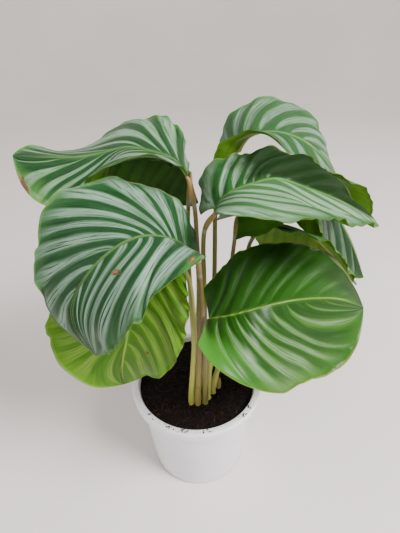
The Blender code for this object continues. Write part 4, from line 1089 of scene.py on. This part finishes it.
def fibre_skin():
    """Brown to reddish bark and coir fibres."""
    g = Graph("fibre_skin")
    place, x, y, z = g.place()
    tone = g.noise(place, 90.0, 2.0)
    grain = g.noise(g.xyz(g.mul(x, 1800.0), g.mul(y, 500.0), g.mul(z, 900.0)), 1.0, 3.0, 0.7)
    colour = g.mix(g.step(tone, 0.35, 0.70), (0.024, 0.007, 0.005), (0.085, 0.030, 0.016))
    colour = g.mix(g.step(grain, 0.5, 0.8, 0.0, 0.6), colour, (0.17, 0.085, 0.05))
    g.set(Base_Color=colour, Roughness=g.add(0.62, g.mul(grain, 0.25)), Normal=g.bump(grain, 0.6, 0.0004))
    g.shader.inputs["Specular IOR Level"].default_value = 0.25
    return g.mat


crumbs("bark_fibres", spots, np.full(len(spots), 0.34), rng.uniform(5.0, 13.0, len(spots)), fibre_skin(), None)

# a few crumbs of the mix lie on the lip: (degrees round the pot, millimetres from the axis, size)
LIP_CRUMBS = []
for low, high, count in ((236, 249, 9), (252, 262, 10), (268, 286, 9), (306, 327, 12), (200, 232, 4), (20, 160, 10)):
    for _ in range(count):
        LIP_CRUMBS.append((rng.uniform(low, high), rng.uniform(59.6, 63.3), rng.uniform(0.26, 0.72)))
spots, size = [], []
for degrees, radius, s in LIP_CRUMBS:
    spots.append((radius * math.cos(math.radians(degrees)), radius * math.sin(math.radians(degrees)), 111.0 + 0.45 * s))
    size.append(s)
crumbs("lip_crumbs", spots, size, 1 + rng.exponential(0.8, len(size)), soil_skin("lip_crumb_skin", 0.75), None)


# ============================================================================ crown and young shoot
def crown_skin():
    g = Graph("crown_skin")
    place, x, y, z = g.place()
    ridge = g.noise(g.xyz(g.mul(x, 90.0), g.mul(y, 90.0), g.mul(z, 420.0)), 1.0, 3.0, 0.6)
    spot = g.noise(place, 500.0, 3.0, 0.6)
    colour = g.mix(g.step(ridge, 0.35, 0.7), (0.11, 0.055, 0.025), (0.26, 0.16, 0.08))
    colour = g.mix(g.step(spot, 0.6, 0.8, 0.0, 0.6), colour, (0.06, 0.03, 0.02))
    return g.set(Base_Color=colour, Roughness=g.add(0.6, g.mul(spot, 0.2)), Normal=g.bump(ridge, 0.7, 0.0012))


crown_mat = crown_skin()
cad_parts["crown"].material_slots[0].material = crown_mat


def shoot_skin():
    """A rolled young leaf: pale yellow-green, reddish-brown at its tip and along its edge."""
    g = Graph("shoot_skin")
    around, share = g.uv("vein")
    streak = g.noise(g.xyz(g.mul(around, 26.0), g.mul(share, 2.0), 0.0), 1.0, 3.0, 0.6)
    colour = g.mix(g.step(share, 0.15, 0.75), (0.46, 0.36, 0.20), (0.42, 0.33, 0.075))
    colour = g.mix(g.step(share, 0.70, 1.0, 0.0, 0.7), colour, (0.30, 0.13, 0.05))
    colour = g.mix(g.step(streak, 0.5, 0.8, 0.0, 0.5), colour, (0.30, 0.33, 0.08))
    return g.set(Base_Color=colour, Roughness=g.add(0.40, g.mul(streak, 0.15)), Normal=g.bump(streak, 0.5, 0.0004))


rows, sides = 40, 24
s = np.linspace(0, 1, rows)
line = np.stack([21.5 + 1.2 * s**2, -9.5 - 0.6 * s**2, SOIL_LEVEL - 1.5 + 18.5 * s], -1)
radii = 2.45 * np.sin(np.pi * (0.28 + 0.72 * s)) ** 0.8 + 0.05
a = np.linspace(0, 2 * np.pi, sides, endpoint=False)
spiral = (a[None] / (2 * np.pi) + 0.15 * s[:, None]) % 1.0
lumps = 0.90 + 0.14 * spiral
points, faces, uv = tube(line, radii, sides, lumps)
add_piece("shoot_roll", points, outward(points, faces), [shoot_skin()], "young_shoot", {"vein": uv})

# ============================================================================ floor, light and camera
# a pale sweep: flat round the plant, then curving up into the backdrop
sweep = [(0.0, 0.0), (0.4, 0.0), (0.8, 0.0), (1.2, 0.0), (1.6, 0.0)]
sweep += [(1.6 + 1.4 * math.sin(a), 1.4 * (1 - math.cos(a))) for a in np.linspace(0, math.pi / 2, 24)[1:]]
sweep += [(3.0, 1.9), (3.0, 2.4), (3.0, 2.9)]
turns = 96
angles = np.linspace(0, 2 * np.pi, turns, endpoint=False)
ground = [(0.0, 0.0, 0.0)] + [(r * math.cos(a), r * math.sin(a), z) for r, z in sweep[1:] for a in angles]
ground_faces = [(0, 1 + k, 1 + (k + 1) % turns) for k in range(turns)]
ground_faces += [(1 + n * turns + k, 1 + (n + 1) * turns + k, 1 + (n + 1) * turns + (k + 1) % turns, 1 + n * turns + (k + 1) % turns)
                 for n in range(len(sweep) - 2) for k in range(turns)]
floor_mesh = bpy.data.meshes.new("floor")
floor_mesh.from_pydata(ground, [], ground_faces)
floor_mesh.polygons.foreach_set("use_smooth", np.ones(len(ground_faces), bool))
floor = bpy.data.objects.new("floor", floor_mesh)
bpy.context.scene.collection.objects.link(floor)
g = Graph("floor_paper")
place, x, y, z = g.place()
tone = g.noise(place, 2.5, 3.0)
paper = g.mix(g.step(tone, 0.3, 0.7), (0.74, 0.695, 0.67), (0.78, 0.735, 0.715))
# painted light: the sweep turns paler as it rises, making up for the lamps lighting the backdrop less than the floor
g.set(Base_Color=g.mix(g.step(z, 0.0, 1.2), paper, (0.92, 0.90, 0.88)), Roughness=0.85)
g.shader.inputs["Specular IOR Level"].default_value = 0.2
floor_mesh.materials.append(g.mat)

world = bpy.data.worlds.new("studio")
bpy.context.scene.world = world
world.use_nodes = True
background = world.node_tree.nodes["Background"]
background.inputs[0].default_value = (1.0, 0.985, 0.975, 1.0)
background.inputs[1].default_value = 0.72


def area_light(name, at, aim, size, power, colour):
    data = bpy.data.lights.new(name, "AREA")
    data.shape, data.size, data.energy, data.color = "DISK", size, power, colour
    obj = bpy.data.objects.new(name, data)
    bpy.context.scene.collection.objects.link(obj)
    z = np.array(at, float) - np.array(aim, float)
    z /= np.linalg.norm(z)
    x = np.cross((0, 0, 1.0), z)
    x /= np.linalg.norm(x)
    y = np.cross(z, x)
    m = Matrix.Identity(4)
    for row in range(3):
        m[row][0], m[row][1], m[row][2], m[row][3] = x[row], y[row], z[row], at[row]
    obj.matrix_world = m
    return obj


area_light("key", (1.05, -0.62, 1.40), (0.0, 0.0, 0.2), 0.8, 62.0, (1.0, 0.985, 0.965))
area_light("fill", (-0.95, -0.5, 1.0), (0.0, 0.0, 0.2), 1.3, 5.0, (0.95, 0.98, 1.0))

TH, PS, RO = math.radians(34.35), math.radians(1.14), math.radians(-1.08)
forward = np.array([math.sin(PS) * math.cos(TH), math.cos(PS) * math.cos(TH), -math.sin(TH)])
level = np.array([math.cos(PS), -math.sin(PS), 0.0])
upright = np.cross(level, forward)
right = math.cos(RO) * level + math.sin(RO) * upright
up = -math.sin(RO) * level + math.cos(RO) * upright
camera_data = bpy.data.cameras.new("camera")
camera_data.sensor_width = 36.0
camera_data.lens = 400 / 533 * 36.0
camera_data.clip_start = 0.02
camera = bpy.data.objects.new("camera", camera_data)
bpy.context.scene.collection.objects.link(camera)
m = Matrix.Identity(4)
for row in range(3):
    m[row][0], m[row][1], m[row][2] = right[row], up[row], -forward[row]
m[0][3], m[1][3], m[2][3] = 0.0, -0.2708, 0.4317
camera.matrix_world = m
bpy.context.scene.camera = camera

low, high = CAD_BOX
